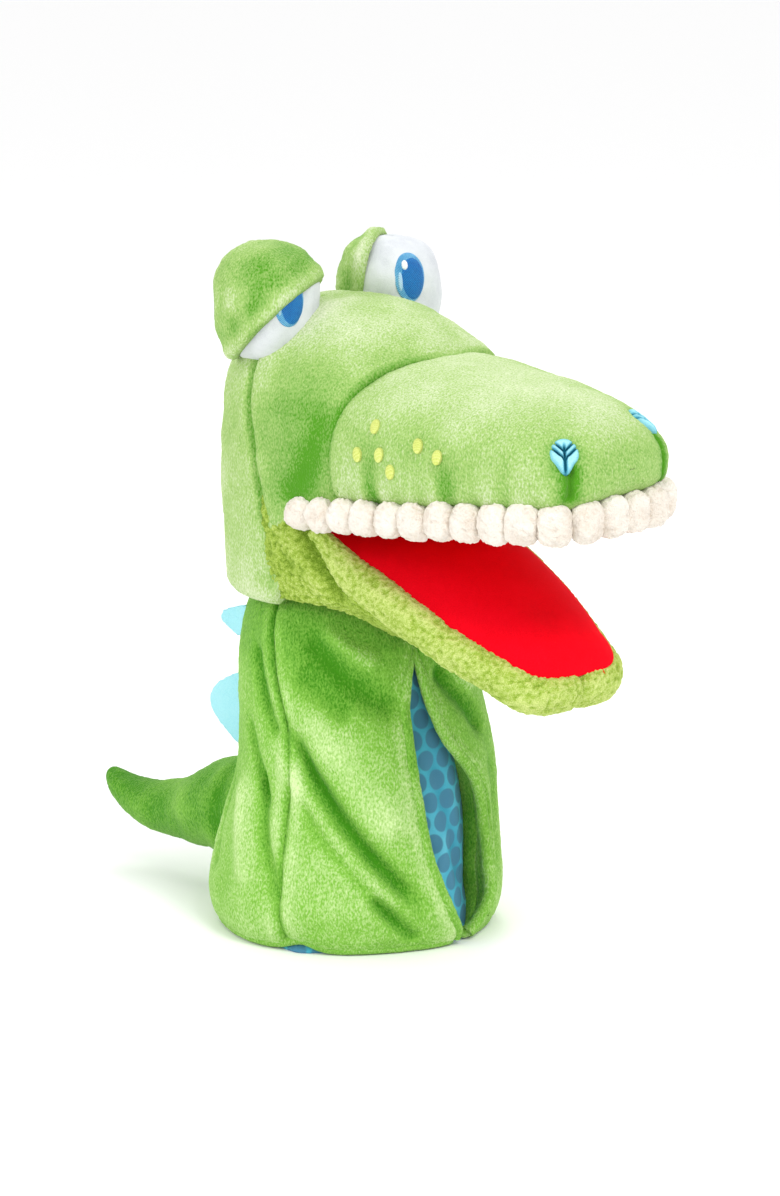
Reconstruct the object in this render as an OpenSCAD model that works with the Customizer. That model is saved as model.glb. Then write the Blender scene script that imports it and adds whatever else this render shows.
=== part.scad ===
// Moving mouth glove puppet: a plush crocodile that stands on its hem.
// It faces -Y, and its right hand side is -X. The origin is on the floor, in the middle of
// the puppet's box, on the centre line of the body tube.

/* [Body] */
// Radius of the hem that the puppet stands on
hem_r = 54; // [50:1:58]
// Radius of the body just under the head
shoulder_r = 41; // [38:1:42]
// Height of the centre about which the head nods and turns
neck_z = 105; // [100:1:110]
// Thickness of the plush cloth
cloth = 2.5; // [2:0.1:3]
// Height of the turned hem
hem_h = 7; // [5:1:10]
// Half width of the front slit at its widest
slit_half = 11; // [8:1:14]
// Height of the top of the front slit
slit_top = 109; // [100:1:112]

/* [Head] */
// Radius of the head at cheek height
head_r = 47; // [45:1:48]
// Height of the crown
head_top = 237.5; // [232:0.5:242]
// Height of the lower edge of the head at the back
head_low = 128; // [126:1:132]
// Sideways place of each eye
eye_x = 31; // [28:1:33]
// Radius of an eyeball across
eye_r = 16.5; // [14:0.5:18]
// Half height of an eyeball
eye_h = 20.5; // [18:0.5:22]

/* [Snout] */
// Half width of the row of teeth at the corner of the mouth
mouth_w = 46; // [44:1:47]
// Half width of the row of teeth at the front corner of the snout
nose_w = 28; // [26:1:30]
// Radius of one stuffed tooth
tooth_r = 5.3; // [4.5:0.1:5.4]
// Half height of one stuffed tooth
tooth_h = 7; // [5:0.5:7]

/* [Jaw] */
// How far the lower jaw hangs open, in degrees
jaw_drop = 27; // [25:1:30]
// Half width of the lower jaw
jaw_w = 43; // [40:1:44]
// Length of the lower jaw from its hinge
jaw_len = 122; // [115:1:123]
// Radius of the bobbly lip roll
lip_r = 6; // [5:0.5:6]

/* [Tail] */
// How far the tip of the tail is from the centre
tail_reach = 137.8; // [130:0.1:140]
// Thickness of the felt spines
felt = 2.4; // [1.5:0.1:3]

/* [Hidden] */
$fn = 64;
// Gap between the head and the shoulder on which it turns
neck_gap = 2;
// Small gap between two pieces of one body
gap = 0.3;
// Thickness of the thin cotton of the inner glove
cotton = 1.5;
// Thickness of the stiff boards and of the velour over them
board = 1.5;
velour = 2;
// The hinge of the jaw, and the steady rise of the teeth towards the nose
hinge_y = -17;
hinge_z = 160;
teeth_y = -21;
teeth_z = 163;
teeth_rise = 0.073;
// Where the snout ends and how the mouth narrows towards it
nose_y = -131;
mouth_taper = mouth_w - nose_w;
// Heights and radii of the body tube, from the hem to the shoulder
body_curve = [[0, hem_r], [15, hem_r + 0.5], [30, 52.7], [50, 49], [70, 46], [80, 44.3],
              [90, 42.6], [98, shoulder_r + 0.3], [neck_z, shoulder_r]];
shoulder_arc = [for (t = [8 : 8 : 40]) [neck_z + shoulder_r * sin(t), shoulder_r * cos(t)]];
// Heights and radii of the head, from its lower edge to the crown
head_curve = [[45, head_low], [head_r - 0.5, 150], [head_r, 175], [head_r - 0.5, 200],
              [head_r - 3, 214], [38, 225], [28, 232.5], [14, head_top - 1], [0, head_top]];
// Stations of the snout: place, half width, lower edge above the teeth line, height of the top
snout_curve = [[-12, 44.5, 7.4, 221], [-38, 44.5, 7.4, 222.5], [-57, 44, 7.4, 221.5],
               [-80, 41.5, 7.4, 218.5], [-103, 36.5, 7.4, 215], [-118, 31.5, 7.4, 211],
               [-127, 27, 8, 206], [-132, 21.5, 10, 199.5], [-134.5, 12, 13, 193]];
// Stations of the tail: place, height of the middle, radius
tail_curve = [[54.6, 32, 4.5], [57, 32, 9.8], [62, 32, 14.2], [71, 31, 17], [80, 28.5, 15],
              [90, 25.5, 11.8], [102, 23.6, 10.2], [114, 23.6, 9], [124, 25.2, 7.6],
              [131, 27.8, 6.2], [135.8, 30, 4], [tail_reach, 30.8, 1.5]];
// Seams at the sides of the body lie this far in front of the widest line, in degrees
seam_turn = 10;
// Height at which the front slit is widest
slit_mid = 50;
// Centre of each eye, front to back and up, how far a lid stands off the eye, and its thickness
eye_y = 10;
eye_z = 233;
lid = 2.5;
// Height of the seam between the crown and the back of the head
crown_seam = 220;
// Pocket for four fingers in the snout
finger_y = -14;
finger_z = 187;
finger_half = 26;
finger_h = 14;
finger_len = 84;
// Where the pieces of the jaw start, measured from the hinge, and its pocket for the thumb
jaw_rear = -36;
thumb_y = -46;
thumb_z = -7.5;
thumb_half = 17;
thumb_h = 12.4;
thumb_len = 48;
// Length that reaches past the whole puppet, for blocks that cut pieces off
far = 300;
// Freckles of one cheek: place along the snout and height
freckles = [[-50, 197], [-44, 187], [-54, 188], [-60, 182], [-67, 191], [-77, 188]];

// ---- shared geometry ----

function unit(v) = v / norm(v);
function middle(ring) = [for (k = [0 : 2]) [for (p = ring) p[k]] * [for (p = ring) 1] / len(ring)];
function signed_pow(v, p) = sign(v) * pow(abs(v), p);
function body_r(z) = lookup(z, body_curve);
function teeth_line(y) = teeth_z + teeth_rise * (teeth_y - y);
function mouth_half(y) = mouth_w - mouth_taper * pow((teeth_y - y) / (teeth_y - nose_y), 2);

// Skin over a list of rings that all have the same number of points
module loft(rings) {
    n = len(rings[0]);
    m = len(rings);
    sides = [for (i = [0 : m - 2], j = [0 : n - 1])
             let (a = i * n + j, b = i * n + (j + 1) % n)
             each [[a, b + n, b], [a, a + n, b + n]]];
    ends = [for (j = [0 : n - 1])
            let (k = (j + 1) % n)
            each [[m * n, j, k], [m * n + 1, (m - 1) * n + k, (m - 1) * n + j]]];
    polyhedron(points = [each [for (r = rings) each r], middle(rings[0]), middle(rings[m - 1])],
               faces = concat(sides, ends), convexity = 8);
}

// Round tube along a path; up is a direction that the path never takes
module sweep(path, r, up, sides = 10) {
    last = len(path) - 1;
    loft([for (i = [0 : last])
          let (t = unit(path[min(i + 1, last)] - path[max(i - 1, 0)]),
               a = unit(cross(t, up)),
               b = cross(t, a))
          [for (j = [0 : sides - 1])
           path[i] + r * (cos(j * 360 / sides) * a + sin(j * 360 / sides) * b)]]);
}

// Ring of the snout at one station, drawn in by a wall
function snout_ring(s, wall, sides = 28) =
    let (low = teeth_line(s[0]) + s[2] + wall, high = s[3] - wall)
    [for (j = [0 : sides - 1])
     [(s[1] - wall) * signed_pow(cos(j * 360 / sides), 0.8), s[0],
      (low + high) / 2 + (high - low) / 2 * signed_pow(sin(j * 360 / sides), 0.8)]];

function tail_ring(s, wall, sides = 20) =
    [for (j = [0 : sides - 1])
     [(s[2] - wall) * cos(j * 360 / sides), s[0], s[1] + (s[2] - wall) * sin(j * 360 / sides)]];

// Solid of the body tube, drawn in by a wall and cut off below a height
module body_form(wall, low) {
    curve = concat([[low, body_r(low)]], [for (p = body_curve) if (p[0] > low) p], shoulder_arc);
    rotate_extrude()
        polygon(concat([[0, low]], [for (p = curve) [p[1] - wall, p[0]]],
                       [[0, curve[len(curve) - 1][0]]]));
}

// One panel of the tunic between two directions
module tunic_panel(start, turn) {
    curve = concat([[hem_h, body_r(hem_h)]], [for (p = body_curve) if (p[0] > hem_h) p],
                   shoulder_arc);
    last = len(curve) - 1;
    rotate([0, 0, start])
        rotate_extrude(angle = turn)
            polygon(concat([for (p = curve) [p[1], p[0]]],
                           [for (i = [last : -1 : 0]) [curve[i][1] - cloth, curve[i][0]]]));
}

// Prism of the leaf-shaped slit with a given half width
function leaf_r(half) = (pow(slit_top - slit_mid, 2) + pow(half, 2)) / (2 * half);
module slit_cut(half) {
    r = leaf_r(half);
    intersection_for (side = [-1, 1])
        translate([side * (r - half), 0, slit_mid])
            rotate([90, 0, 0])
                cylinder(r = r, h = far, $fn = 128);
}

// Rolled edge of the slit, which ends where the two edges would meet
module slit_binding(side) {
    half = slit_half + cloth / 2;
    roll_r = cloth * 0.6;
    r = leaf_r(half);
    path = [for (z = [hem_h + 3 : 8 : slit_top - 10])
            [side * (sqrt(r * r - pow(z - slit_mid, 2)) - r + half - roll_r - gap),
             -body_r(z) + cloth / 2, z]];
    sweep(path, roll_r, [0, 1, 0], 8);
}

module spine(high, low, tip_y, skew) {
    root_y = 34;
    color("paleturquoise")
        difference() {
            translate([-felt / 2, 0, 0])
                rotate([90, 0, 90])
                    linear_extrude(felt)
                        polygon([for (i = [0 : 16])
                                 [root_y + (tip_y - root_y) * pow(sin(i * 180 / 16), 0.8),
                                  high + (low - high) * i / 16 + skew * sin(i * 180 / 16)]]);
            body_form(-gap / 3, 0);
        }
}

// Head of revolution, drawn in by a wall; low is where it is cut off
module head_form(wall) {
    crown = 200;
    rotate_extrude()
        polygon(concat([[0, head_low]],
                       [for (p = head_curve)
                        [max(0, p[0] - wall),
                         p[1] - wall * max(0, (p[1] - crown) / (head_top - crown))]]));
}

// Ball around the neck centre: nothing of the head reaches into it
module neck_ball(extra) {
    translate([0, 0, neck_z])
        sphere(r = shoulder_r + neck_gap + extra);
}

// Blocks that cut off what lies in front of a place, behind it, above it or below it
module front_block(y, low = 0, high = far, half = far) {
    translate([-half, y - far, low])
        cube([2 * half, far, high - low]);
}

module rear_block(y, low = 0, high = far) {
    translate([-far, y, low])
        cube([2 * far, far, high - low]);
}

module top_block(z) {
    translate([-far, -far, z])
        cube([2 * far, 2 * far, far]);
}

module low_block(z) {
    translate([-far, -far, z - far])
        cube([2 * far, 2 * far, far]);
}

module in_jaw() {
    translate([0, hinge_y, hinge_z])
        rotate([jaw_drop, 0, 0])
            children();
}

module in_palate() {
    translate([0, teeth_y, teeth_z])
        rotate([-atan(teeth_rise), 0, 0])
            children();
}

// Outline of the jaw seen from above, drawn in; rear is where it starts
function jaw_side(inset, rear) =
    let (corner_r = 20.5 - inset, cx = 17.5, cy = -jaw_len + 20.5)
    concat([[jaw_w - inset, rear], [jaw_w - 1 - inset, -60], [jaw_w - 3.2 - inset, -84]],
           [for (t = [0 : 15 : 90]) [cx + corner_r * cos(t), cy - corner_r * sin(t)]]);
function jaw_outline(inset, rear) =
    let (side = jaw_side(inset, rear), last = len(side) - 1)
    concat(side, [for (i = [last : -1 : 0]) [-side[i][0], side[i][1]]]);

// Flat slot with round ends that runs towards -Y from its mouth
module slot_bar(half, height, length) {
    rotate([90, 0, 0])
        linear_extrude(length)
            union() {
                square([2 * half - height, height], center = true);
                for (side = [-1, 1])
                    translate([side * (half - height / 2), 0])
                        circle(d = height);
            }
}

// Flat cotton pocket, open towards +Y
module pocket(half, height, length) {
    difference() {
        slot_bar(half, height, length);
        translate([0, 1, 0])
            slot_bar(half - cotton, height - 2 * cotton, length - cotton);
    }
}

module tooth() {
    rotate_extrude($fn = 24)
        polygon([for (t = [-90 : 15 : 90]) [tooth_r * pow(max(0, cos(t)), 0.8), tooth_h * sin(t)]]);
}

module teeth_side(side) {
    pitch = 10.6;
    color("cornsilk")
        for (i = [0 : 10])
            let (y = i < 10 ? teeth_y - pitch * i : -125.9,
                 x = i < 10 ? mouth_half(y) : 26.8)
            translate([side * x, y, teeth_line(y)])
                tooth();
}

// Outline of half an eye, seen from the side, grown by an offset; turn is 1 upwards or -1 downwards
function eye_arc(offset, turn = 1) =
    [for (t = [-90 : 12 : 90]) [(eye_r + offset) * max(0, cos(t)), turn * (eye_h + offset) * sin(t)]];

module eyeball(side) {
    color("white")
        difference() {
            translate([side * eye_x, eye_y, eye_z])
                rotate_extrude()
                    polygon(eye_arc(0));
            head_form(-gap);
        }
}

// Cloth cap over the back and top of an eye; tilt is how far it droops over the front
module eyelid(side, tilt) {
    color("yellowgreen")
        difference() {
            translate([side * eye_x, eye_y, eye_z])
                rotate_extrude()
                    polygon(concat(eye_arc(gap + lid), eye_arc(gap, -1)));
            translate([side * eye_x, eye_y, eye_z])
                rotate([tilt, 0, 0])
                    front_block(0, -far);
            head_form(-gap);
        }
}

module iris(side, drop) {
    turn = side * 12;
    color("royalblue")
        difference() {
            translate([side * eye_x, eye_y, eye_z - drop])
                rotate([90, 0, turn])
                    translate([0, 0, eye_r + gap])
                        cylinder(r = 6.5, h = 0.8);
            head_form(-gap);
        }
}

module nostril(side) {
    place = [side * 20, -126.2, 205.5];
    slope = 52;
    toe_out = side * 10;
    color("lightblue")
        translate(place)
            rotate([slope, 0, toe_out])
                cylinder(r = 5.5, h = 1);
}

module freckle_group(side) {
    color("khaki")
        for (f = freckles)
            translate([side * (lookup(-f[0], [for (s = snout_curve) [-s[0], s[1]]]) + gap), f[0], f[1]])
                rotate([0, side * 90, 0])
                    cylinder(r = 1.8, h = 0.6);
}

// Lime cloth under the corner of the mouth, between the head and the jaw
module cheek_gusset(side) {
    color("darkkhaki")
        difference() {
            head_form(0);
            head_form(cloth);
            neck_ball(0);
            front_block(hinge_y + 1);
            rear_block(-gap);
            top_block(teeth_z + 4);
            translate([side > 0 ? -far : 0, -far, 0])
                cube([far, 2 * far, far]);
        }
}

// ---- body ----

module tunic_right() {
    color("limegreen")
        difference() {
            tunic_panel(180 + seam_turn, 90 - seam_turn);
            slit_cut(slit_half + cloth / 2);
        }
}

module tunic_left() {
    color("limegreen")
        difference() {
            tunic_panel(270, 90 - seam_turn);
            slit_cut(slit_half + cloth / 2);
        }
}

module tunic_back() {
    color("yellowgreen")
        tunic_panel(-seam_turn, 180 + 2 * seam_turn);
}

module hem_band() {
    hem_gap = 5;
    thick = 5;
    color("forestgreen")
        rotate([0, 0, -90 + hem_gap])
            rotate_extrude(angle = 360 - 2 * hem_gap)
                polygon([[hem_r - thick, 0], [hem_r, 0], [hem_r + 0.4, hem_h / 2], [hem_r, hem_h - 0.2],
                         [hem_r - thick, hem_h - 0.2]]);
}

module slit_binding_right() {
    color("green")
        slit_binding(-1);
}

module slit_binding_left() {
    color("green")
        slit_binding(1);
}

module inner_sleeve() {
    curve = [[45, 3], [41.5, 10], [37.5, 28], [35, 58], [32, 94]];
    color("steelblue")
        rotate_extrude()
            polygon(concat(curve, [for (i = [len(curve) - 1 : -1 : 0])
                                   [curve[i][0] - cotton, curve[i][1]]]));
}

module spine_upper() {
    spine(115, 97, 71, 1);
}

module spine_lower() {
    spine(96, 48, 76.5, 2.5);
}

// ---- neck ----

module palm_tube() {
    low = 97;
    high = 134;
    color("cadetblue")
        rotate_extrude()
            polygon([[27, low], [29, low], [29, neck_z + 5], [26, high], [24.5, high],
                     [27, neck_z + 5]]);
}

// ---- head ----

module head_shell() {
    snout_join = 218;
    snout_half = 36;
    color("limegreen")
        difference() {
            head_form(0);
            head_form(cloth);
            neck_ball(0);
            front_block(1, 0, teeth_z + 4 + gap);
            front_block(0, 0, snout_join, snout_half);
            rear_block(0, 0, crown_seam);
        }
}

module head_back_panel() {
    color("yellowgreen")
        difference() {
            head_form(0);
            head_form(cloth);
            neck_ball(0);
            front_block(gap);
            top_block(crown_seam - gap);
        }
}

module throat_panel() {
    low = 112;
    high = 141;
    rear = -9;
    slope = 24;
    color("darkkhaki")
        difference() {
            neck_ball(cloth);
            neck_ball(0);
            top_block(high);
            low_block(low);
            rear_block(rear);
            translate([0, -shoulder_r, low + 1])
                rotate([slope, 0, 0])
                    low_block(0);
        }
}

module cheek_gusset_right() {
    cheek_gusset(-1);
}

module cheek_gusset_left() {
    cheek_gusset(1);
}

module head_stuffing() {
    hand_r = 27;
    hand_top = 196;
    floor_z = 147;
    snout_y = -28;
    color("whitesmoke")
        difference() {
            head_form(cloth + gap);
            low_block(floor_z);
            cylinder(r = hand_r, h = hand_top - 1);
            front_block(-2, 0, hand_top);
            front_block(snout_y);
        }
}

module snout_cover() {
    last = len(snout_curve) - 1;
    inner = [for (i = [last : -1 : 0])
             let (s = snout_curve[i])
             snout_ring([min(0, s[0] + (i > last - 3 ? cloth : 0)), s[1], s[2], s[3]], cloth)];
    outer = [for (s = snout_curve) snout_ring(s, 0)];
    color("limegreen")
        difference() {
            loft(concat(inner, outer));
            head_form(-gap);
        }
}

// Filling of the snout, all round the finger pocket
module snout_stuffing() {
    inside = cloth + 2 * gap;
    last = len(snout_curve) - 3;
    nose = snout_curve[last];
    color("whitesmoke")
        difference() {
            loft(concat([for (i = [0 : last - 1]) snout_ring(snout_curve[i], inside)],
                        [snout_ring([nose[0] + cloth + gap, nose[1], nose[2], nose[3]],
                                    inside + gap)]));
            head_form(-gap);
            translate([0, 0, finger_z])
                slot_bar(finger_half + gap, finger_h + 2 * gap, finger_len - finger_y + gap);
        }
}

module finger_pocket() {
    color("cadetblue")
        translate([0, finger_y, finger_z])
            pocket(finger_half, finger_h, finger_len);
}

// Plate that follows the mouth inside the teeth
module palate_plate(inset, thick, rear) {
    front = -127;
    steps = [rear : (front + 8 - rear) / 6 : front + 8.01];
    half = [for (y = steps) [mouth_half(y) - inset, y - teeth_y]];
    nose = [[nose_w - inset - 7, front - teeth_y]];
    side = concat(half, nose);
    linear_extrude(thick)
        polygon(concat(side, [for (i = [len(side) - 1 : -1 : 0]) [-side[i][0], side[i][1]]]));
}

module palate_board() {
    color("tan")
        in_palate()
            translate([0, 0, velour + gap])
                palate_plate(tooth_r + 2.5, board, -30);
}

module palate_cover() {
    color("red")
        in_palate()
            palate_plate(tooth_r + 0.8, velour, -26);
}

module teeth_right() {
    teeth_side(-1);
}

module teeth_left() {
    teeth_side(1);
}

module teeth_front() {
    color("cornsilk")
        for (x = [-16.4, -5.5, 5.5, 16.4])
            let (y = abs(x) > 10 ? -131.2 : -132.4)
            translate([x, y, teeth_line(y)])
                tooth();
}

module eyeball_right() {
    eyeball(-1);
}

module eyeball_left() {
    eyeball(1);
}

module eyelid_right() {
    eyelid(-1, 30);
}

module eyelid_left() {
    eyelid(1, -15);
}

module iris_right() {
    iris(-1, 4);
}

module iris_left() {
    iris(1, -2);
}

module nostril_right() {
    nostril(-1);
}

module nostril_left() {
    nostril(1);
}

module freckles_right() {
    freckle_group(-1);
}

module freckles_left() {
    freckle_group(1);
}

// ---- jaw ----

module tongue_cover() {
    color("red")
        in_jaw()
            translate([0, 0, 0.5])
                linear_extrude(velour)
                    polygon(jaw_outline(2 * lip_r + gap, jaw_rear));
}

module tongue_board() {
    color("tan")
        in_jaw()
            translate([0, 0, 0.2 - board])
                linear_extrude(board)
                    polygon(jaw_outline(2 * lip_r + 1, jaw_rear));
}

module lip_roll() {
    path = [for (p = jaw_outline(lip_r, jaw_rear)) [p[0], p[1], 2 - lip_r]];
    color("yellowgreen")
        in_jaw()
            sweep(path, lip_r, [0, 0, 1], 12);
}

module thumb_pocket() {
    color("cadetblue")
        in_jaw()
            translate([0, thumb_y, thumb_z])
                pocket(thumb_half, thumb_h, thumb_len);
}

module jaw_stuffing() {
    color("whitesmoke")
        in_jaw()
            difference() {
                translate([0, 0, thumb_z - thumb_h / 2])
                    linear_extrude(thumb_h - gap)
                        polygon(jaw_outline(2 * lip_r + 1.2, thumb_y));
                translate([0, thumb_y + 1, thumb_z])
                    slot_bar(thumb_half + gap, thumb_h + 2, thumb_len + 2);
            }
}

module chin_cover() {
    color("yellowgreen")
        in_jaw()
            translate([0, 0, thumb_z - thumb_h / 2 - cloth - gap])
                linear_extrude(cloth)
                    polygon(jaw_outline(2 * lip_r - 4, thumb_y));
}

// ---- tail ----

module tail_skin() {
    last = len(tail_curve) - 1;
    inner = [for (i = [last - 2 : -1 : 1]) tail_ring(tail_curve[i], cloth)];
    outer = [for (s = tail_curve) tail_ring(s, 0)];
    color("limegreen")
        loft(concat(inner, outer));
}

module tail_stuffing() {
    color("whitesmoke")
        loft([for (i = [2 : len(tail_curve) - 3]) tail_ring(tail_curve[i], cloth + gap)]);
}

tunic_right();
tunic_left();
tunic_back();
hem_band();
slit_binding_right();
slit_binding_left();
inner_sleeve();
spine_upper();
spine_lower();
palm_tube();
head_shell();
head_back_panel();
throat_panel();
cheek_gusset_right();
cheek_gusset_left();
head_stuffing();
snout_cover();
snout_stuffing();
finger_pocket();
palate_board();
palate_cover();
teeth_right();
teeth_front();
teeth_left();
eyeball_right();
eyeball_left();
eyelid_right();
eyelid_left();
iris_right();
iris_left();
nostril_right();
nostril_left();
freckles_right();
freckles_left();
tongue_cover();
tongue_board();
lip_roll();
thumb_pocket();
jaw_stuffing();
chin_cover();
tail_skin();
tail_stuffing();
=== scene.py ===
"""Moving mouth puppet: the soft, sewn look of a plush crocodile glove puppet, built round the CAD frame.

Points and radii are in millimetres until a mesh is made. Meshes, the camera and the lights are in metres.
The puppet faces -Y. Directions round the body are degrees from the front (-Y) towards the puppet's right
(-X).
"""
import math
import bpy
import numpy as np
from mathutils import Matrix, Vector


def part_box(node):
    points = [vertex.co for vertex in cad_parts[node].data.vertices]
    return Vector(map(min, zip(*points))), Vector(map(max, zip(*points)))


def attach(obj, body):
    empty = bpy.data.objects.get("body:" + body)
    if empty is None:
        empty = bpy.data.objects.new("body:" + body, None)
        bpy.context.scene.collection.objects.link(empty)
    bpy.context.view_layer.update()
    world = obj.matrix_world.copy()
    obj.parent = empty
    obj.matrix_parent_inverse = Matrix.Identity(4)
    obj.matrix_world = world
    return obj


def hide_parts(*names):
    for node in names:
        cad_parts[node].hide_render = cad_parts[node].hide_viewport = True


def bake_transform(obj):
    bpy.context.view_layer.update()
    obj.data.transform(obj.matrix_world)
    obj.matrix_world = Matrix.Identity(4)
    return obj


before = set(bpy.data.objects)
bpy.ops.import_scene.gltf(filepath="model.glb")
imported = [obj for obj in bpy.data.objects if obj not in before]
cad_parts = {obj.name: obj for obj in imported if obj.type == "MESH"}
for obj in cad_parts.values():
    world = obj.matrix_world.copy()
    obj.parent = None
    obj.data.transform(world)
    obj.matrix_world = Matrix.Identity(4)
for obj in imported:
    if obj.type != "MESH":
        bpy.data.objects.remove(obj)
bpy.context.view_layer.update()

MM = 0.001
ROPE_SIDES = 14
# Thickness of each cloth, in mm
PLUSH_THICK, HEAD_THICK, LID_THICK, FACING_THICK, FELT_THICK, COTTON_THICK = 2.2, 4.0, 2.4, 1.6, 2.2, 1.0


# ---------------------------------------------------------------- camera, light and floor

def look_from(azimuth, elevation, distance, target, lens):
    """The scene's camera, at the view that the puppet is shown from."""
    a, e = math.radians(azimuth), math.radians(elevation)
    back = np.array([math.sin(a) * math.cos(e), -math.cos(a) * math.cos(e), math.sin(e)])
    data = bpy.data.cameras.new("camera")
    data.lens = lens
    data.sensor_fit = "VERTICAL"
    data.sensor_height = 36.0
    data.clip_start = 0.01
    camera = bpy.data.objects.new("camera", data)
    camera.location = np.array(target) + back * distance
    camera.rotation_euler = (math.pi / 2 - e, 0.0, a)
    bpy.context.scene.collection.objects.link(camera)
    bpy.context.scene.camera = camera


def area_light(name, place, aim, size, power):
    """Round soft light that faces a point."""
    data = bpy.data.lights.new(name, "AREA")
    data.shape = "DISK"
    data.size = size
    data.energy = power
    light = bpy.data.objects.new(name, data)
    light.location = place
    way = np.array(place) - np.array(aim)
    flat = math.hypot(way[0], way[1])
    light.rotation_euler = (math.atan2(flat, way[2]), 0.0, math.atan2(way[0], -way[1]))
    bpy.context.scene.collection.objects.link(light)


def studio():
    """Wide pale floor in a pale room, and large soft lights."""
    white = bpy.data.materials.new("studio_paper")
    white.use_nodes = True
    shader = white.node_tree.nodes["Principled BSDF"]
    shader.inputs["Base Color"].default_value = (0.975, 0.975, 0.975, 1.0)
    shader.inputs["Roughness"].default_value = 0.9
    far = 8.0
    floor = bpy.data.meshes.new("floor")
    floor.from_pydata([(-far, -far, 0), (far, -far, 0), (far, far, 0), (-far, far, 0)], [], [(0, 1, 2, 3)])
    floor.materials.append(white)
    plane = bpy.data.objects.new("floor", floor)
    bpy.context.scene.collection.objects.link(plane)
    world = bpy.data.worlds.new("room")
    world.use_nodes = True
    room = world.node_tree.nodes["Background"]
    room.inputs["Color"].default_value = (1.0, 1.0, 1.0, 1.0)
    room.inputs["Strength"].default_value = 1.0
    bpy.context.scene.world = world
    middle = (0.0, 0.0, 0.13)
    area_light("key", (-0.30, -1.20, 1.55), middle, 0.6, 13.0)
    area_light("side", (-1.5, 0.25, 0.8), middle, 0.9, 6.0)
    area_light("rim", (0.9, 0.9, 1.1), middle, 0.6, 6.0)


# ---------------------------------------------------------------- numbers and noise

def hashed(i, j, k, seed):
    """Repeatable number from -1 to 1 at each lattice point."""
    n = (i * 374761393 + j * 668265263 + k * 1442695041 + seed * 974711) & 0xFFFFFFFF
    n = ((n ^ (n >> 13)) * 1274126177) & 0xFFFFFFFF
    return ((n ^ (n >> 16)) & 0xFFFF) / 32767.5 - 1.0


def noise(points, size, seed=0):
    """Smooth value noise from -1 to 1 with features of about that size, in mm."""
    q = np.asarray(points, float) / size
    cell = np.floor(q).astype(np.int64)
    f = q - cell
    f = f * f * (3 - 2 * f)
    total = np.zeros(q.shape[:-1])
    for dx in (0, 1):
        wx = f[..., 0] if dx else 1 - f[..., 0]
        for dy in (0, 1):
            wy = f[..., 1] if dy else 1 - f[..., 1]
            for dz in (0, 1):
                wz = f[..., 2] if dz else 1 - f[..., 2]
                corner = cell + np.array([dx, dy, dz])
                total += wx * wy * wz * hashed(corner[..., 0], corner[..., 1], corner[..., 2], seed)
    return total


def bobbles(points, size, seed=0):
    """Rounded bumps, 1 at the middle of each and 0 between them, one to a cell of that size."""
    q = np.asarray(points, float) / size
    cell = np.floor(q).astype(np.int64)
    nearest = np.full(q.shape[:-1], 9.0)
    for dx in (-1, 0, 1):
        for dy in (-1, 0, 1):
            for dz in (-1, 0, 1):
                c = cell + np.array([dx, dy, dz])
                spot = np.stack([c[..., n] + 0.5 + 0.42 * hashed(c[..., 0], c[..., 1], c[..., 2], seed + n)
                                 for n in range(3)], -1)
                nearest = np.minimum(nearest, ((q - spot) ** 2).sum(-1))
    return np.clip(1 - nearest / 0.65, 0, 1)


def smooth(x, low, high):
    """From 0 at low to 1 at high, with a soft start and end."""
    t = np.clip((np.asarray(x, float) - low) / (high - low), 0, 1)
    return t * t * (3 - 2 * t)


def bell(x, width):
    """1 at 0, and fading over about that width to both sides."""
    return np.exp(-(np.asarray(x, float) / width) ** 2)


def curve_at(t, table):
    """Smooth value at t of a short table of (place, value, ...) rows, by Catmull-Rom."""
    rows = np.array(table, float)
    x, y = rows[:, 0], rows[:, 1:]
    t = np.clip(np.asarray(t, float), x[0], x[-1])
    i = np.clip(np.searchsorted(x, t, side="right") - 1, 0, len(x) - 2)
    slope = np.gradient(y, x, axis=0)
    h = (x[i + 1] - x[i])[..., None]
    s = ((t - x[i]) / (x[i + 1] - x[i]))[..., None]
    out = (2 * s**3 - 3 * s**2 + 1) * y[i] + (s**3 - 2 * s**2 + s) * slope[i] * h
    out = out + (-2 * s**3 + 3 * s**2) * y[i + 1] + (s**3 - s**2) * slope[i + 1] * h
    return out[..., 0] if y.shape[1] == 1 else out


def run_of(p):
    """How far along a path each of its points is."""
    return np.concatenate([[0], np.cumsum(np.linalg.norm(np.diff(p, axis=0), axis=1))])


def resample(path, count):
    """Evenly spaced points along a path."""
    p = np.array(path, float)
    run = run_of(p)
    even = np.linspace(0, run[-1], count)
    return np.stack([np.interp(even, run, column) for column in p.T], -1)


def along(points, spread):
    """Evenly spaced points on the smooth curve through a few points."""
    p = np.array(points, float)
    run = run_of(p)
    fine = curve_at(np.linspace(0, run[-1], 400), np.column_stack([run, p]))
    return resample(fine, max(2, int(round(run_of(fine)[-1] / spread)) + 1))


def unit(v):
    """Vectors scaled to a length of 1."""
    return v / np.linalg.norm(v, axis=-1, keepdims=True)


def around(a, r, z):
    """Point in direction a, at radius r and height z."""
    return np.stack([-np.sin(np.radians(a)) * r, -np.cos(np.radians(a)) * r, z * np.ones_like(r)], -1)


def numbered(rows):
    """Table with the number of each row in front, for a smooth curve through the rows."""
    return [(k, *row) for k, row in enumerate(rows)]


def fuzz(p, seed, size=1.6):
    """Fine unevenness of plush pile."""
    return 0.16 * noise(p, size, seed) + 0.10 * noise(p, 0.9, seed + 1)


def directions(latitudes, columns):
    """Unit directions on a ball: rings of that many columns, at latitudes in degrees."""
    lat, lon = np.radians(latitudes)[:, None], np.radians(np.linspace(0, 360, columns, endpoint=False))
    return np.stack([np.cos(lat) * np.cos(lon), np.cos(lat) * np.sin(lon), np.sin(lat) + 0 * lon], -1)


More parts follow.
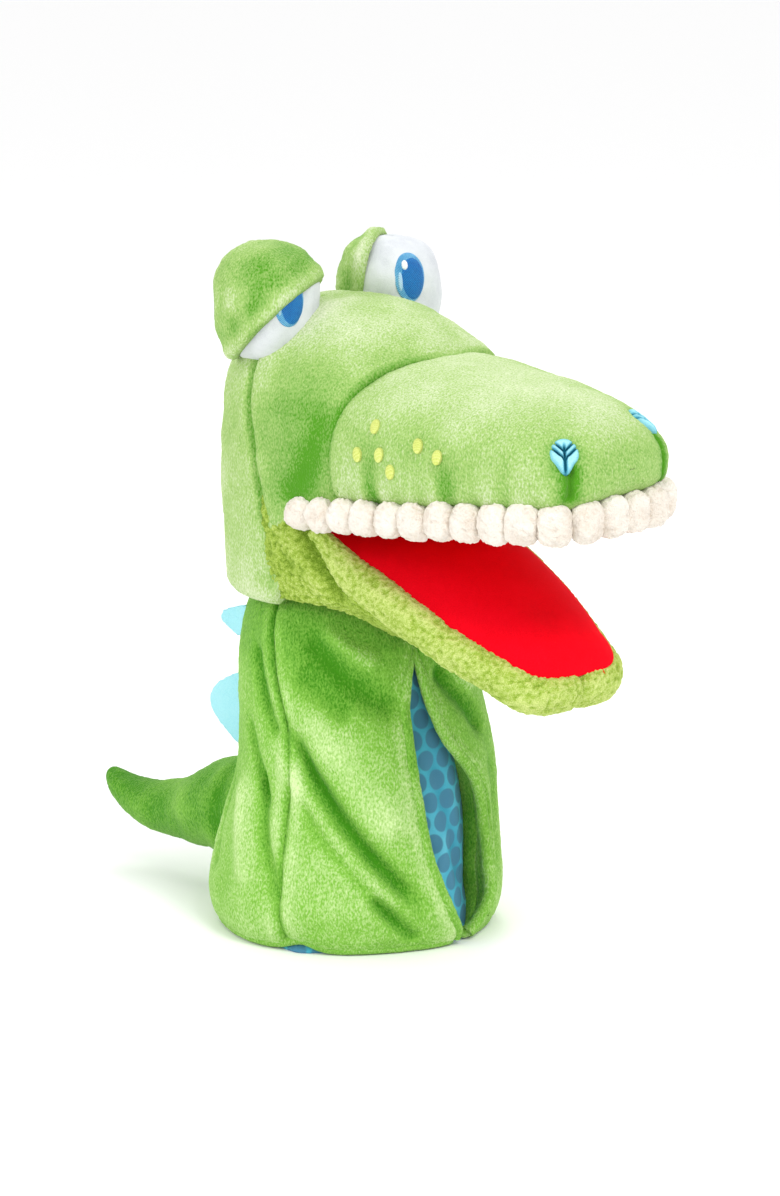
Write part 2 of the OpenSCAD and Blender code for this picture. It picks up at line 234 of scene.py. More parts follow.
def crease(u, v, line, width, depth, scale=(1.0, 1.0)):
    """Groove (depth above 0) or ridge (below 0) along a line of (u, v) points, fading at both ends."""
    pts = along(line, 2.0) * np.array(scale)
    flat = np.stack([u * scale[0], v * scale[1]], -1)
    best = np.full(u.shape, 1e9)
    where = np.zeros(u.shape)
    for n in range(len(pts) - 1):
        a, b = pts[n], pts[n + 1]
        ab = b - a
        t = np.clip(((flat - a) @ ab) / (ab @ ab), 0, 1)
        d = np.linalg.norm(flat - (a + t[..., None] * ab), axis=-1)
        nearer = d < best
        best = np.where(nearer, d, best)
        where = np.where(nearer, (n + t) / (len(pts) - 1), where)
    ends = smooth(where, 0.0, 0.16) * (1 - smooth(where, 0.84, 1.0))
    return -depth * bell(best, width) * (0.15 + 0.85 * ends)


# ---------------------------------------------------------------- meshes

def normals_of(p, wrap_u=False, wrap_v=False):
    """Unit normals of a grid of points."""
    def step(axis, wrap):
        if wrap:
            return np.roll(p, -1, axis) - np.roll(p, 1, axis)
        return np.gradient(p, axis=axis)
    n = np.cross(step(0, wrap_u), step(1, wrap_v))
    size = np.linalg.norm(n, axis=-1, keepdims=True)
    return n / np.where(size < 1e-9, 1.0, size)


def outer_normals(p, wrap_u=False, wrap_v=False):
    """Unit normals of a grid of points that point away from its middle."""
    n = normals_of(p, wrap_u, wrap_v)
    return n * np.sign((n * (p - p.reshape(-1, 3).mean(0))).sum(-1).mean())


def new_mesh(name, points, faces, tone_and_shading, material, uv=None):
    """Object from points in mm, with its material and a tone value at each vertex, from -1 to 1: painted
    shade and light, low where the cloth is sunken and high where it is raised, with some random tone. The
    vertices of a second side repeat those of the first."""
    mesh = bpy.data.meshes.new(name)
    mesh.from_pydata((points * MM).tolist(), [], faces)
    mesh.validate()
    mesh.polygons.foreach_set("use_smooth", [True] * len(mesh.polygons))
    if uv is not None:
        layer = mesh.uv_layers.new(name="UVMap")
        loops = np.zeros(len(mesh.loops), int)
        mesh.loops.foreach_get("vertex_index", loops)
        layer.data.foreach_set("uv", np.tile(uv.reshape(-1, 2), (2, 1))[loops].ravel())
    flat = np.ravel(tone_and_shading)
    full = np.zeros(len(points))
    full[:len(flat)] = flat
    if len(full) >= 2 * len(flat):
        full[len(flat):2 * len(flat)] = flat
    mesh.attributes.new("tone_and_shading", "FLOAT", "POINT").data.foreach_set("value", np.clip(full, -1, 1))
    mesh.materials.append(material)
    obj = bpy.data.objects.new(name, mesh)
    bpy.context.scene.collection.objects.link(obj)
    return obj


def grid_faces(nu, nv, wrap_u, wrap_v, start=0):
    """Four-sided faces of a grid of points, which may join up along either axis."""
    i, j = np.meshgrid(np.arange(nu - (not wrap_u)), np.arange(nv - (not wrap_v)), indexing="ij")
    i2, j2 = (i + 1) % nu, (j + 1) % nv
    quads = np.stack([i * nv + j, i2 * nv + j, i2 * nv + j2, i * nv + j2], -1).reshape(-1, 4)
    return (quads + start).tolist()


def outward(p, faces):
    """The faces, turned so that the closed shape's volume is positive."""
    t = np.array([(f[0], f[k], f[k + 1]) for f in faces for k in range(1, len(f) - 1)])
    volume = (p[t[:, 0]] * np.cross(p[t[:, 1]], p[t[:, 2]])).sum()
    return faces if volume > 0 else [f[::-1] for f in faces]


def solid(name, forms, material):
    """One piece from closed forms. Each is a grid (n rings, m points round), which a point closes at either
    end, and the tone value at each of its points: painted shade and light, with some random tone."""
    points, faces, tone_and_shading, start = [], [], [], 0
    for p, height in forms:
        n, m = p.shape[:2]
        sides = grid_faces(n, m, False, True)
        for j in range(m):
            sides.append([n * m, (j + 1) % m, j])
        for j in range(m):
            sides.append([n * m + 1, (n - 1) * m + j, (n - 1) * m + (j + 1) % m])
        p = np.vstack([p.reshape(-1, 3), p[0].mean(0), p[-1].mean(0)])
        points.append(p)
        faces += [[i + start for i in face] for face in outward(p, sides)]
        tone_and_shading.append(np.append(height, [0, 0]))
        start += len(p)
    return new_mesh(name, np.vstack(points), faces, np.concatenate(tone_and_shading), material)


def bowl(name, p, tone_and_shading, thick, material):
    """Open shell of a real thickness: a grid that wraps along its first axis and ends in a point."""
    nu, nv = p.shape[:2]
    inner = p - outer_normals(p, wrap_u=True) * thick
    count = nu * nv
    points = np.vstack([p.reshape(-1, 3), inner.reshape(-1, 3), p[:, -1].mean(0), inner[:, -1].mean(0)])
    faces = grid_faces(nu, nv, True, False) + [f[::-1] for f in grid_faces(nu, nv, True, False, count)]
    for i in range(nu):
        a, b = i * nv, (i + 1) % nu * nv
        faces.append([b, a, a + count, b + count])
        a, b = a + nv - 1, b + nv - 1
        faces.append([a, b, 2 * count])
        faces.append([b + count, a + count, 2 * count + 1])
    return new_mesh(name, points, outward(points, faces), tone_and_shading, material)


def cloth_panel(name, p, tone_and_shading, thick, material, inner_material=None, wrap_u=False, uv=None):
    """Cloth of a real thickness: an outer grid, an inner grid below it and a closed edge round them.
    The normals of the outer grid point away from the inner one."""
    nu, nv = p.shape[:2]
    inner = p - normals_of(p, wrap_u) * thick
    points = np.vstack([p.reshape(-1, 3), inner.reshape(-1, 3)])
    count = nu * nv
    faces = grid_faces(nu, nv, wrap_u, False)
    outer_count = len(faces)
    faces += [f[::-1] for f in grid_faces(nu, nv, wrap_u, False, count)]
    edges = []
    for i in range(nu - (not wrap_u)):
        a, b = i * nv, (i + 1) % nu * nv
        edges += [(b, a), (a + nv - 1, b + nv - 1)]
    for j in range(0 if wrap_u else nv - 1):
        edges += [(j, j + 1), ((nu - 1) * nv + j + 1, (nu - 1) * nv + j)]
    faces += [[a, b, b + count, a + count] for a, b in edges]
    obj = new_mesh(name, points, outward(points, faces), tone_and_shading, material, uv)
    if inner_material is not None:
        obj.data.materials.append(inner_material)
        for index in range(outer_count, outer_count * 2):
            obj.data.polygons[index].material_index = 1
    return obj


def rope(name, p, radius, wobble, seed, uneven):
    """Closed round strand of plush along a path, with a radius at each point."""
    t = unit(np.gradient(p, axis=0))
    a = unit(np.cross(t, [0.0, 0.0, 1.0] if abs(t[:, 2]).max() < 0.9 else [0.31, 0.95, 0.05]))
    b = np.cross(t, a)
    ang = np.linspace(0, 2 * math.pi, ROPE_SIDES, endpoint=False)[:, None]
    spread = radius[:, None, None] * (np.cos(ang) * a[:, None] + np.sin(ang) * b[:, None])
    rings = p[:, None] + spread
    rings = rings + spread * (wobble * noise(rings, 1.6, seed))[..., None]
    tone_and_shading = uneven * noise(np.repeat(p, ROPE_SIDES, axis=0), 12.0, seed)
    return solid(name, [(rings, tone_and_shading)], PLUSH)


def settle(obj, body, *nodes, fill=None):
    """Puts a piece on its body and in place of its CAD nodes; fill, how full a padded piece is, is not used.
    """
    if nodes:
        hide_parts(*nodes)
    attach(obj, body)


# ---------------------------------------------------------------- materials

def cloth(name, tones, patch=(30.0, 0.3), grain=(0.8, 0.3), stretch=(1.0, 1.0, 1.0), depth=0.4, rough=0.9,
          sheen=(0.0, 0.4, (1.0, 1.0, 1.0)), specular=0.2, tone_and_shading=0.5, threads=None, dots=None):
    """Cloth whose colour runs through three tones, dark, middle and light.

    patch and grain are (size in mm, strength) of the slow and the fine variation. The mesh's own tone values,
    painted shade and light with some random tone, low in folds and high on ridges, move the tone by the
    strength given with them. depth is the height of the grain in mm. threads is (direction, pitch in mm,
    strength) of a weave or of satin stitches.
    """
    material = bpy.data.materials.new(name)
    material.use_nodes = True
    tree = material.node_tree
    shader = tree.nodes["Principled BSDF"]

    def node(kind, **settings):
        made = tree.nodes.new(kind)
        for key, value in settings.items():
            if key in made.inputs:
                made.inputs[key].default_value = value
            else:
                setattr(made, key, value)
        return made

    def math_node(operation, a, b, c=0.0):
        made = tree.nodes.new("ShaderNodeMath")
        made.operation = operation
        for socket, value in zip(made.inputs, (a, b, c)):
            if hasattr(value, "is_linked"):
                tree.links.new(value, socket)
            else:
                socket.default_value = value
        return made.outputs[0]

    coords = node("ShaderNodeTexCoord")
    mapping = node("ShaderNodeMapping")
    mapping.inputs["Scale"].default_value = stretch
    tree.links.new(coords.outputs["Object"], mapping.inputs["Vector"])

    def noise_node(size, detail, vector):
        made = node("ShaderNodeTexNoise", Scale=1.0 / (size * MM), Detail=detail)
        tree.links.new(vector, made.inputs["Vector"])
        return made.outputs["Fac"]

    slow = noise_node(patch[0], 3.0, coords.outputs["Object"])
    middle = noise_node(patch[0] / 5, 3.0, mapping.outputs["Vector"])
    fine = noise_node(grain[0], 4.0, mapping.outputs["Vector"])
    attribute = node("ShaderNodeAttribute", attribute_name="tone_and_shading")
    tone = math_node("MULTIPLY_ADD", attribute.outputs["Fac"], tone_and_shading, 0.5)
    for value, strength in ((slow, patch[1] * 2.0), (middle, patch[1]), (fine, grain[1] * 2.0)):
        tone = math_node("MULTIPLY_ADD", math_node("SUBTRACT", value, 0.5), strength, tone)
    height = math_node("MULTIPLY", fine, 1.0)
    if threads is not None:
        direction, pitch, strength = threads
        turn = node("ShaderNodeMapping")
        turn.inputs["Rotation"].default_value = direction
        tree.links.new(coords.outputs["Object"], turn.inputs["Vector"])
        wave = node("ShaderNodeTexWave", wave_type="BANDS", bands_direction="X", Scale=0.314 / (pitch * MM),
                    Distortion=0.6, Detail=2.0)
        wave.inputs["Detail Scale"].default_value = 1.5
        tree.links.new(turn.outputs["Vector"], wave.inputs["Vector"])
        tone = math_node("MULTIPLY_ADD", math_node("SUBTRACT", wave.outputs["Fac"], 0.5), strength, tone)
        height = math_node("MULTIPLY_ADD", wave.outputs["Fac"], 1.2, height)
    ramp = node("ShaderNodeValToRGB")
    stops = ramp.color_ramp.elements
    stops[0].position, stops[1].position = 0.12, 0.88
    stops.new(0.5)
    for stop, tone_colour in zip(stops, tones):
        stop.color = (*tone_colour, 1.0)
    tree.links.new(tone, ramp.inputs["Fac"])
    colour = ramp.outputs["Color"]
    if dots is not None:
        colour = dotted(tree, node, math_node, colour, *dots)
    tree.links.new(colour, shader.inputs["Base Color"])
    bump = node("ShaderNodeBump", Strength=1.0, Distance=depth * MM)
    tree.links.new(height, bump.inputs["Height"])
    tree.links.new(bump.outputs["Normal"], shader.inputs["Normal"])
    settings = {"Roughness": rough, "Specular IOR Level": specular, "Sheen Weight": sheen[0],
                "Sheen Roughness": sheen[1], "Sheen Tint": (*sheen[2], 1.0)}
    for socket, value in settings.items():
        shader.inputs[socket].default_value = value
    return material


def dotted(tree, node, math_node, ground, dot_colour, pitch, radius):
    """Staggered printed dots over a ground colour, laid out on the mesh's UV, which is in mm."""
    uv = node("ShaderNodeUVMap", uv_map="UVMap")
    split = node("ShaderNodeSeparateXYZ")
    tree.links.new(uv.outputs["UV"], split.inputs["Vector"])
    row = pitch * math.sqrt(3.0)
    nearest = None
    for shift in (0.0, 0.5):
        u = math_node("MULTIPLY_ADD", split.outputs["X"], 1.0 / pitch, shift)
        v = math_node("MULTIPLY_ADD", split.outputs["Y"], 1.0 / row, shift)
        du = math_node("MULTIPLY", math_node("SUBTRACT", math_node("FRACT", u, 0.0), 0.5), pitch)
        dv = math_node("MULTIPLY", math_node("SUBTRACT", math_node("FRACT", v, 0.0), 0.5), row)
        square = math_node("ADD", math_node("MULTIPLY", du, du), math_node("MULTIPLY", dv, dv))
        gone = math_node("SQRT", square, 0.0)
        nearest = gone if nearest is None else math_node("MINIMUM", nearest, gone)
    edge = node("ShaderNodeMapRange", interpolation_type="SMOOTHSTEP")
    edge.inputs["From Min"].default_value = radius - 0.35
    edge.inputs["From Max"].default_value = radius + 0.35
    edge.inputs["To Min"].default_value = 0.92
    edge.inputs["To Max"].default_value = 0.0
    tree.links.new(nearest, edge.inputs["Value"])
    mix = node("ShaderNodeMix", data_type="RGBA")
    tree.links.new(edge.outputs["Result"], mix.inputs["Factor"])
    under, over = [socket for socket in mix.inputs if socket.type == "RGBA"]
    tree.links.new(ground, under)
    over.default_value = (*dot_colour, 1.0)
    return [socket for socket in mix.outputs if socket.type == "RGBA"][0]


# In each cloth the dark tone gives the painted shade of folds and dips and the light tone the painted light
# on ridges and bumps, besides the random variation.
GREEN_SHEEN = (0.24, 0.45, (0.82, 1.0, 0.50))
PLUSH = cloth("plush_green", [(0.045, 0.24, 0.003), (0.22, 0.49, 0.06), (0.62, 0.79, 0.38)],
              patch=(30.0, 0.10), grain=(0.62, 0.46), stretch=(1.0, 1.0, 0.55), depth=0.6, sheen=GREEN_SHEEN)
PLUSH_INSIDE = cloth("plush_reverse", [(0.03, 0.18, 0.006), (0.09, 0.34, 0.015), (0.24, 0.52, 0.07)],
                     patch=(30.0, 0.25), grain=(0.8, 0.2), depth=0.4, sheen=(0.3, 0.4, (0.7, 1.0, 0.5)))
TERRY = cloth("terry_lime", [(0.13, 0.25, 0.008), (0.36, 0.52, 0.066), (0.68, 0.78, 0.27)],
              patch=(24.0, 0.12), grain=(0.42, 0.52), depth=0.6, tone_and_shading=0.30,
              sheen=(0.12, 0.5, (1.0, 1.0, 0.5)))
VELOUR = cloth("velour_red", [(0.46, 0.0, 0.003), (0.82, 0.001, 0.010), (0.93, 0.005, 0.025)],
               patch=(26.0, 0.10), grain=(0.35, 0.30), depth=0.15, specular=0.06)
FLEECE = cloth("fleece_cream", [(0.64, 0.53, 0.42), (0.80, 0.73, 0.64), (0.90, 0.86, 0.79)],
               patch=(9.0, 0.12), grain=(0.7, 0.30), depth=0.7, tone_and_shading=0.45,
               sheen=(0.2, 0.5, (1.0, 0.95, 0.88)))
FELT = cloth("felt_cyan", [(0.20, 0.56, 0.68), (0.36, 0.74, 0.83), (0.50, 0.82, 0.88)],
             patch=(16.0, 0.14), grain=(0.5, 0.22), depth=0.25, sheen=(0.15, 0.5, (0.9, 1.0, 1.0)))
COTTON = cloth("cotton_dots", [(0.03, 0.27, 0.42), (0.08, 0.47, 0.66), (0.18, 0.62, 0.80)],
               patch=(28.0, 0.22), grain=(0.4, 0.10), depth=0.1, threads=((0.0, 0.0, 0.7), 0.45, 0.10),
               sheen=(0.1, 0.5, (0.7, 1.0, 1.0)), dots=((0.07, 0.23, 0.38), 8.8, 3.7))
EYE_WHITE = cloth("eye_white", [(0.40, 0.42, 0.47), (0.64, 0.665, 0.69), (0.76, 0.78, 0.80)],
                  patch=(14.0, 0.14), grain=(0.4, 0.14), depth=0.15, sheen=(0.1, 0.4, (1.0, 1.0, 1.0)))
STITCH_NAVY = cloth("stitch_navy", [(0.0, 0.05, 0.27), (0.004, 0.17, 0.54), (0.03, 0.34, 0.74)],
                    patch=(6.0, 0.12), grain=(0.4, 0.30), depth=0.2, rough=0.5, specular=0.4,
                    threads=((0.0, 0.9, 0.0), 0.5, 0.35))
STITCH_BLUE = cloth("stitch_blue", [(0.02, 0.22, 0.56), (0.10, 0.42, 0.72), (0.34, 0.66, 0.88)],
                    patch=(6.0, 0.25), grain=(0.4, 0.25), depth=0.2, rough=0.5, specular=0.5,
                    threads=((0.0, 0.9, 0.0), 0.5, 0.40))
STITCH_PALE = cloth("stitch_pale", [(0.20, 0.46, 0.72), (0.40, 0.66, 0.86), (0.70, 0.86, 0.95)],
                    patch=(6.0, 0.12), grain=(0.4, 0.1), depth=0.15, rough=0.5, specular=0.5,
                    threads=((0.0, -0.9, 0.0), 0.5, 0.30))
STITCH_YELLOW = cloth("stitch_yellow", [(0.42, 0.50, 0.06), (0.62, 0.70, 0.17), (0.78, 0.82, 0.36)],
                      patch=(5.0, 0.12), grain=(0.4, 0.25), depth=0.15, rough=0.6, specular=0.2,
                      threads=((0.7, 0.4, 0.0), 0.42, 0.16))
NOSTRIL = cloth("nostril_blue", [(0.0, 0.10, 0.16), (0.11, 0.44, 0.56), (0.38, 0.74, 0.82)],
                patch=(5.0, 0.12), grain=(0.35, 0.22), depth=0.2, tone_and_shading=0.58)
PLUSH_LIGHT = cloth("plush_green_light", [(0.07, 0.28, 0.008), (0.34, 0.52, 0.15), (0.76, 0.80, 0.60)],
                    patch=(30.0, 0.10), grain=(0.62, 0.42), stretch=(1.0, 1.0, 0.6), depth=0.6,
                    sheen=GREEN_SHEEN)
STITCH_WHITE = cloth("stitch_white", [(0.70, 0.74, 0.80), (0.92, 0.93, 0.95), (0.98, 0.98, 0.99)],
                     patch=(4.0, 0.10), grain=(0.4, 0.08), depth=0.1, rough=0.5, specular=0.5,
                     threads=((0.0, 0.9, 0.0), 0.5, 0.15))


# ---------------------------------------------------------------- body

# Height, mean radius, and how much fuller the body is at its left front than at its right back
BODY = [(-1, 47.5, 1.0), (1, 50.2, 1.0), (4, 52.6, 1.0), (8, 54.0, 1.0), (13, 54.8, 1.0), (27, 53.4, 2.0),
        (48, 50.0, 3.7), (63, 47.9, 5.0), (76, 46.6, 4.4), (86, 45.4, 3.2), (98, 43.0, 1.4), (108, 41.4, 0.4),
        (118, 39.2, 0.0), (126, 36.2, 0.0), (132, 32.0, 0.0)]
# Edges of the panels: height and direction of the right side seam, and of the slit's two edges
SEAM_R = [(0, 72), (20, 75.5), (45, 75), (70, 75.5), (84, 79), (98, 86), (116, 92), (132, 96)]
# The slit is open up to a height of 111; above that its edges run on, a little over each other
SLIT_NEAR = [(0, -3), (5, -2.5), (13, 2.5), (34, 11.4), (54, 14.8), (70, 17.3), (91, 18.0), (104, 14),
             (111, 10.0), (117, 9.8), (132, 9.8)]
SLIT_FAR = [(0, -5.5), (5, -12), (13, -19.5), (27, -20.5), (40, -20), (48, -19.8), (64, -13), (76, -1.5),
            (88, 5), (102, 8.5), (111, 10.4), (117, 10.6), (132, 10.6)]
BODY_TOP = 132.0

# Folds of the cloth: line of (direction, height), width, depth (below 0 is a ridge)
FOLDS = [
    ([(77, 84), (62, 65), (46, 47), (31, 31), (17, 18)], 3.2, 4.2),
    ([(80, 74), (66, 55), (51, 38), (37, 24), (22, 10)], 4.5, -2.6),
    ([(71, 60), (58, 44), (46, 32), (33, 19), (23, 10)], 3.0, 3.2),
    ([(38, 23), (28, 13), (17, 4)], 2.6, 2.6),
    ([(66, 92), (50, 72), (34, 55), (22, 42)], 8.0, -1.8),
    ([(96, 66), (89, 52), (86, 41), (80, 28), (79, 16)], 3.0, 2.8),
    ([(105, 112), (97, 97), (89, 85), (81, 76)], 3.2, 2.6),
    ([(108, 84), (101, 72), (92, 60), (84, 50)], 3.0, 2.0),
    ([(110, 62), (104, 46), (98, 32), (92, 20)], 5.0, -1.8),
    ([(72, 118), (60, 108), (46, 99), (30, 92), (18, 88)], 5.5, 2.6),
    ([(60, 121), (46, 112), (30, 106)], 3.5, -2.0),
    ([(74, 104), (60, 95), (44, 86)], 5.5, 2.2),
    ([(2, 104), (-7, 96), (-16, 88), (-24, 80), (-30, 74)], 4.5, 3.6),
    ([(-8, 104), (-16, 98), (-26, 92)], 4.5, -2.2),
    ([(-32, 70), (-36, 50), (-34, 30), (-30, 14)], 5.0, 2.0),
    ([(-60, 100), (-66, 76), (-62, 50), (-58, 26)], 4.0, 2.6),
    ([(-80, 60), (-88, 40), (-94, 18)], 3.6, 2.4),
    ([(-110, 110), (-116, 84), (-110, 60)], 4.4, 2.2),
    ([(150, 104), (144, 80), (150, 56), (156, 34)], 5.0, 2.4),
    ([(-150, 96), (-142, 70), (-148, 44)], 5.0, 2.4),
    ([(128, 60), (132, 40), (124, 20)], 4.0, 2.0),
    ([(-128, 52), (-134, 34), (-126, 14)], 4.0, 2.0),
]
ARC = 0.85      # mm of cloth to a degree round the body, for the widths of folds; GLOVE_ARC is the glove's


def body_point(a, z, lift=0.0):
    """Point on the tunic at direction a and height z, and how raised the pile is there."""
    rows = curve_at(z, BODY)
    r = rows[..., 0] + rows[..., 1] * np.cos(np.radians(a + 45))
    flat = around(a, r, z)
    rise = 0.8 * noise(flat, 26.0, 3) + 0.35 * noise(flat, 9.0, 4)
    fade = 1 - smooth(z, 112, 126)
    for line, width, depth in FOLDS:
        rise = rise + fade * crease(a, z, line, width, depth, (ARC, 1.0))
    return around(a, r + rise + lift, z), rise


def hem_lift(a):
    """How far the hem stands off the floor, where it is rucked up at the right and a little elsewhere."""
    return 2.6 * bell(a - 67, 8) + 0.5 * bell(a + 50, 14) + 0.5 * bell(a - 150, 20)


def tunic_panel(name, low_edge, high_edge, node, columns):
    """Panel of the tunic between two edges, each a direction for every height."""
    z = np.concatenate([np.linspace(0.6, 20, 26), np.linspace(20.8, BODY_TOP, 130)])
    t = np.linspace(0, 1, columns)[:, None]
    t = t - 0.06 * np.sin(2 * math.pi * t)
    low, high = curve_at(z, low_edge), curve_at(z, high_edge)
    a = low + (high - low) * t
    z = np.broadcast_to(z, a.shape)
    p, rise = body_point(a, z)
    p[..., 2] += hem_lift(a) * (1 - smooth(z, 0, 14))
    arc = np.minimum(np.abs(a - low), np.abs(high - a)) * ARC
    seam = -1.7 * bell(arc, 1.5)
    # Tone: a little paler towards the bottom; darker towards the top, painted shade under the head and jaw;
    # and a painted highlight along each panel's edges beside the seams.
    tone = 0.12 * (1 - smooth(z, 30, 70)) - 0.34 * smooth(z, 84, 112) + 0.22 * bell(arc - 4.5, 2.5)
    n = normals_of(p)
    # The grid is turned, if need be, so that its normals point outward
    way = 1 if (n[..., :2] * p[..., :2]).sum(-1).mean() > 0 else -1
    p = p + way * n * (seam + fuzz(p, 11))[..., None]
    # Folds and seam grooves darker and ridges lighter: painted shade and light, with some random tone.
    tone_and_shading = (rise + seam) * 0.21 + tone
    obj = cloth_panel(name, p[::way], tone_and_shading[::way], PLUSH_THICK, PLUSH, PLUSH_INSIDE)
    settle(obj, "body", node)


def edge_roll(name, heights, edge, radius, lift, shift, seed, *nodes):
    """Soft turned edge of the slit, which thins out towards the slit's top."""
    z = np.linspace(*heights, 90)
    thin = smooth(z, heights[1] - 22, heights[1])
    a = curve_at(z, edge) + shift * (1 - smooth(z, 98, 110))
    p, _ = body_point(a, z, lift - 1.2 * thin)
    settle(rope(name, p, radius * (1 - 0.7 * thin), 0.08, seed, 0.25), "body", *nodes)


def make_body():
    """Tunic of three panels, its turned edges, the dotted inner glove and the felt spines."""
    seam_l = [(z, -a) for z, a in SEAM_R]
    seam_l_round = [(z, 360.0 - a) for z, a in SEAM_R]
    tunic_panel("tunic_right_plush", SLIT_NEAR, SEAM_R, "tunic_right", 120)
    tunic_panel("tunic_back_plush", SEAM_R, seam_l_round, "tunic_back", 200)
    tunic_panel("tunic_left_plush", seam_l, SLIT_FAR, "tunic_left", 110)
    edge_roll("slit_edge_right", (3.0, 119.0), SLIT_NEAR, 2.3, -1.7, 0.9, 21, "slit_binding_right")
    edge_roll("slit_edge_left", (3.0, 118.0), SLIT_FAR, 2.2, -1.1, -0.6, 22, "slit_binding_left")
    edge_roll("slit_edge_left_fold", (8.0, 92.0), SLIT_FAR, 1.4, -0.5, -4.2, 23)
    a = np.linspace(curve_at(2.0, SLIT_NEAR), 360 + curve_at(2.0, SLIT_FAR) - 1, 260)
    from_end = np.minimum(a - a[0], a[-1] - a)
    a = np.where(a > 180, a - 360, a)
    p, _ = body_point(a, np.full_like(a, 2.4), -2.1)
    p[:, 2] = 2.3 + hem_lift(a)
    hem = rope("hem_roll", p, 2.1 * (0.3 + 0.7 * smooth(from_end, 0, 4)), 0.06, 24, 0.0)
    settle(hem, "body", "hem_band")
    make_facing()
    make_inner_glove()
    make_spines()


# Height and radius of the inner glove at its back, and at its front where the slit shows it
GLOVE_BACK = [(0.4, 47.5), (1.6, 46.6), (5, 44.0), (12, 41.0), (45, 39.4), (62, 37.2), (80, 34.5), (96, 32.0),
              (107, 30.6)]
GLOVE_FRONT = [(0.4, 49.0), (1.6, 48.8), (5, 48.0), (12, 48.0), (30, 47.8), (45, 46.8), (62, 44.6),
               (80, 41.0), (96, 36.8), (107, 34.8)]
GLOVE_FOLDS = [([(-14, 16), (-8, 34), (-2, 52), (3, 72)], 3.5, 1.6),
               ([(10, 14), (4, 30), (-6, 44)], 3.0, -0.9)]
GLOVE_ARC = 0.75


def glove_radius(a, z):
    """Radius of the inner glove in a direction and at a height."""
    full = bell(a + 1.0, 31)
    bulge = 3.4 * bell(a - 67, 8) * (1 - smooth(z, 1, 7)) + 3.4 * bell(a - 12, 10) * smooth(z, 80, 98)
    return curve_at(z, GLOVE_BACK) * (1 - full) + curve_at(z, GLOVE_FRONT) * full + bulge


def make_facing():
    """Turned-in side of the slit's left edge, from the flap to the glove."""
    z, share = np.linspace(3, 96, 90), np.linspace(0, 1, 30)
    a = curve_at(z, SLIT_FAR)[:, None] - 1.0 - 8.0 * share
    z = np.broadcast_to(z[:, None], a.shape)
    outer, _ = body_point(a, z, -2.6)
    inner = around(a, glove_radius(a, z) + 0.6, z)
    p = outer + (inner - outer) * smooth(share, 0.1, 1.0)[:, None]
    fold = 1.2 * bell(share - 0.35 - 0.2 * np.sin(z / 14.0), 0.10) + 0.6 * noise(p, 7.0, 45)
    if (normals_of(p) * inner * np.array([1, 1, 0])).sum() < 0:
        p, fold = p[::-1], fold[::-1]
    p = p + normals_of(p) * fold[..., None]
    # Lighter on the fold and its bumps, painted highlight; darker overall, painted shade inside the slit.
    tone_and_shading = fold * 0.5 - 0.35
    settle(cloth_panel("slit_facing_plush", p, tone_and_shading, FACING_THICK, PLUSH), "body")


def make_inner_glove():
    """Dotted cotton sleeve that the hand goes up through."""
    a, z = np.meshgrid(np.linspace(0, 360, 240, endpoint=False), np.linspace(0.4, 106, 120), indexing="ij")
    turned = (a + 180) % 360 - 180
    r = glove_radius(turned, z)
    base = around(a, r, z)
    wrinkle = 0.5 * noise(base, 18.0, 41) + 0.2 * noise(base, 6.0, 42)
    for line, width, depth in GLOVE_FOLDS:
        wrinkle = wrinkle + crease(turned, z, line, width, depth, (GLOVE_ARC, 1.0))
    p = around(a, r + wrinkle * smooth(z, 3, 10), z)
    uv = np.stack([turned * math.radians(44.0), z], -1)
    # The wrinkles give the tone too: darker in creases and lighter on ridges, painted shade.
    glove = cloth_panel("inner_glove_sleeve", p[::-1], wrinkle[::-1] * 0.4, COTTON_THICK, COTTON,
                        wrap_u=True, uv=uv[::-1])
    settle(glove, "body", "inner_sleeve")


# How far back each spine reaches, how much its top is below the CAD's, its skew and its seed
SPINES = {"spine_upper": (71.0, 0.5, 1.0, 1), "spine_lower": (76.5, 4.0, 2.0, 2)}
SPINE_ROOT = 41.0


def make_spines():
    """Flat felt spines of the back, with a soft cut edge and a slight wave."""
    for node, (tip, drop, skew, seed) in SPINES.items():
        low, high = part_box(node)
        z0, z1 = low[2] / MM - 4.0, high[2] / MM - drop
        middle = (z0 + z1) / 2
        t, s = np.linspace(0.03, 0.97, 60)[:, None], np.linspace(0, 1, 34)
        y = SPINE_ROOT + (tip - SPINE_ROOT) * np.sin(t * math.pi) ** 0.8 * s
        rim = z1 - (z1 - z0) * t + skew * np.sin(t * math.pi)
        z = middle + (rim - middle) * (0.9 + 0.1 * s)
        bend = 1.1 * np.sin((z - z0) / (z1 - z0) * 3.0 + seed) * smooth(y, SPINE_ROOT, tip)
        p = np.stack([bend, y, z], -1)
        if normals_of(p)[..., 0].mean() < 0:
            p = p[::-1]
        p[..., 0] += FELT_THICK / 2
        p = p + normals_of(p) * (0.12 * noise(p, 1.3, seed))[..., None]
        piece = cloth_panel(node + "_felt", p, 0 * z, FELT_THICK, FELT)
        settle(piece, "body", node)


# ---------------------------------------------------------------- head

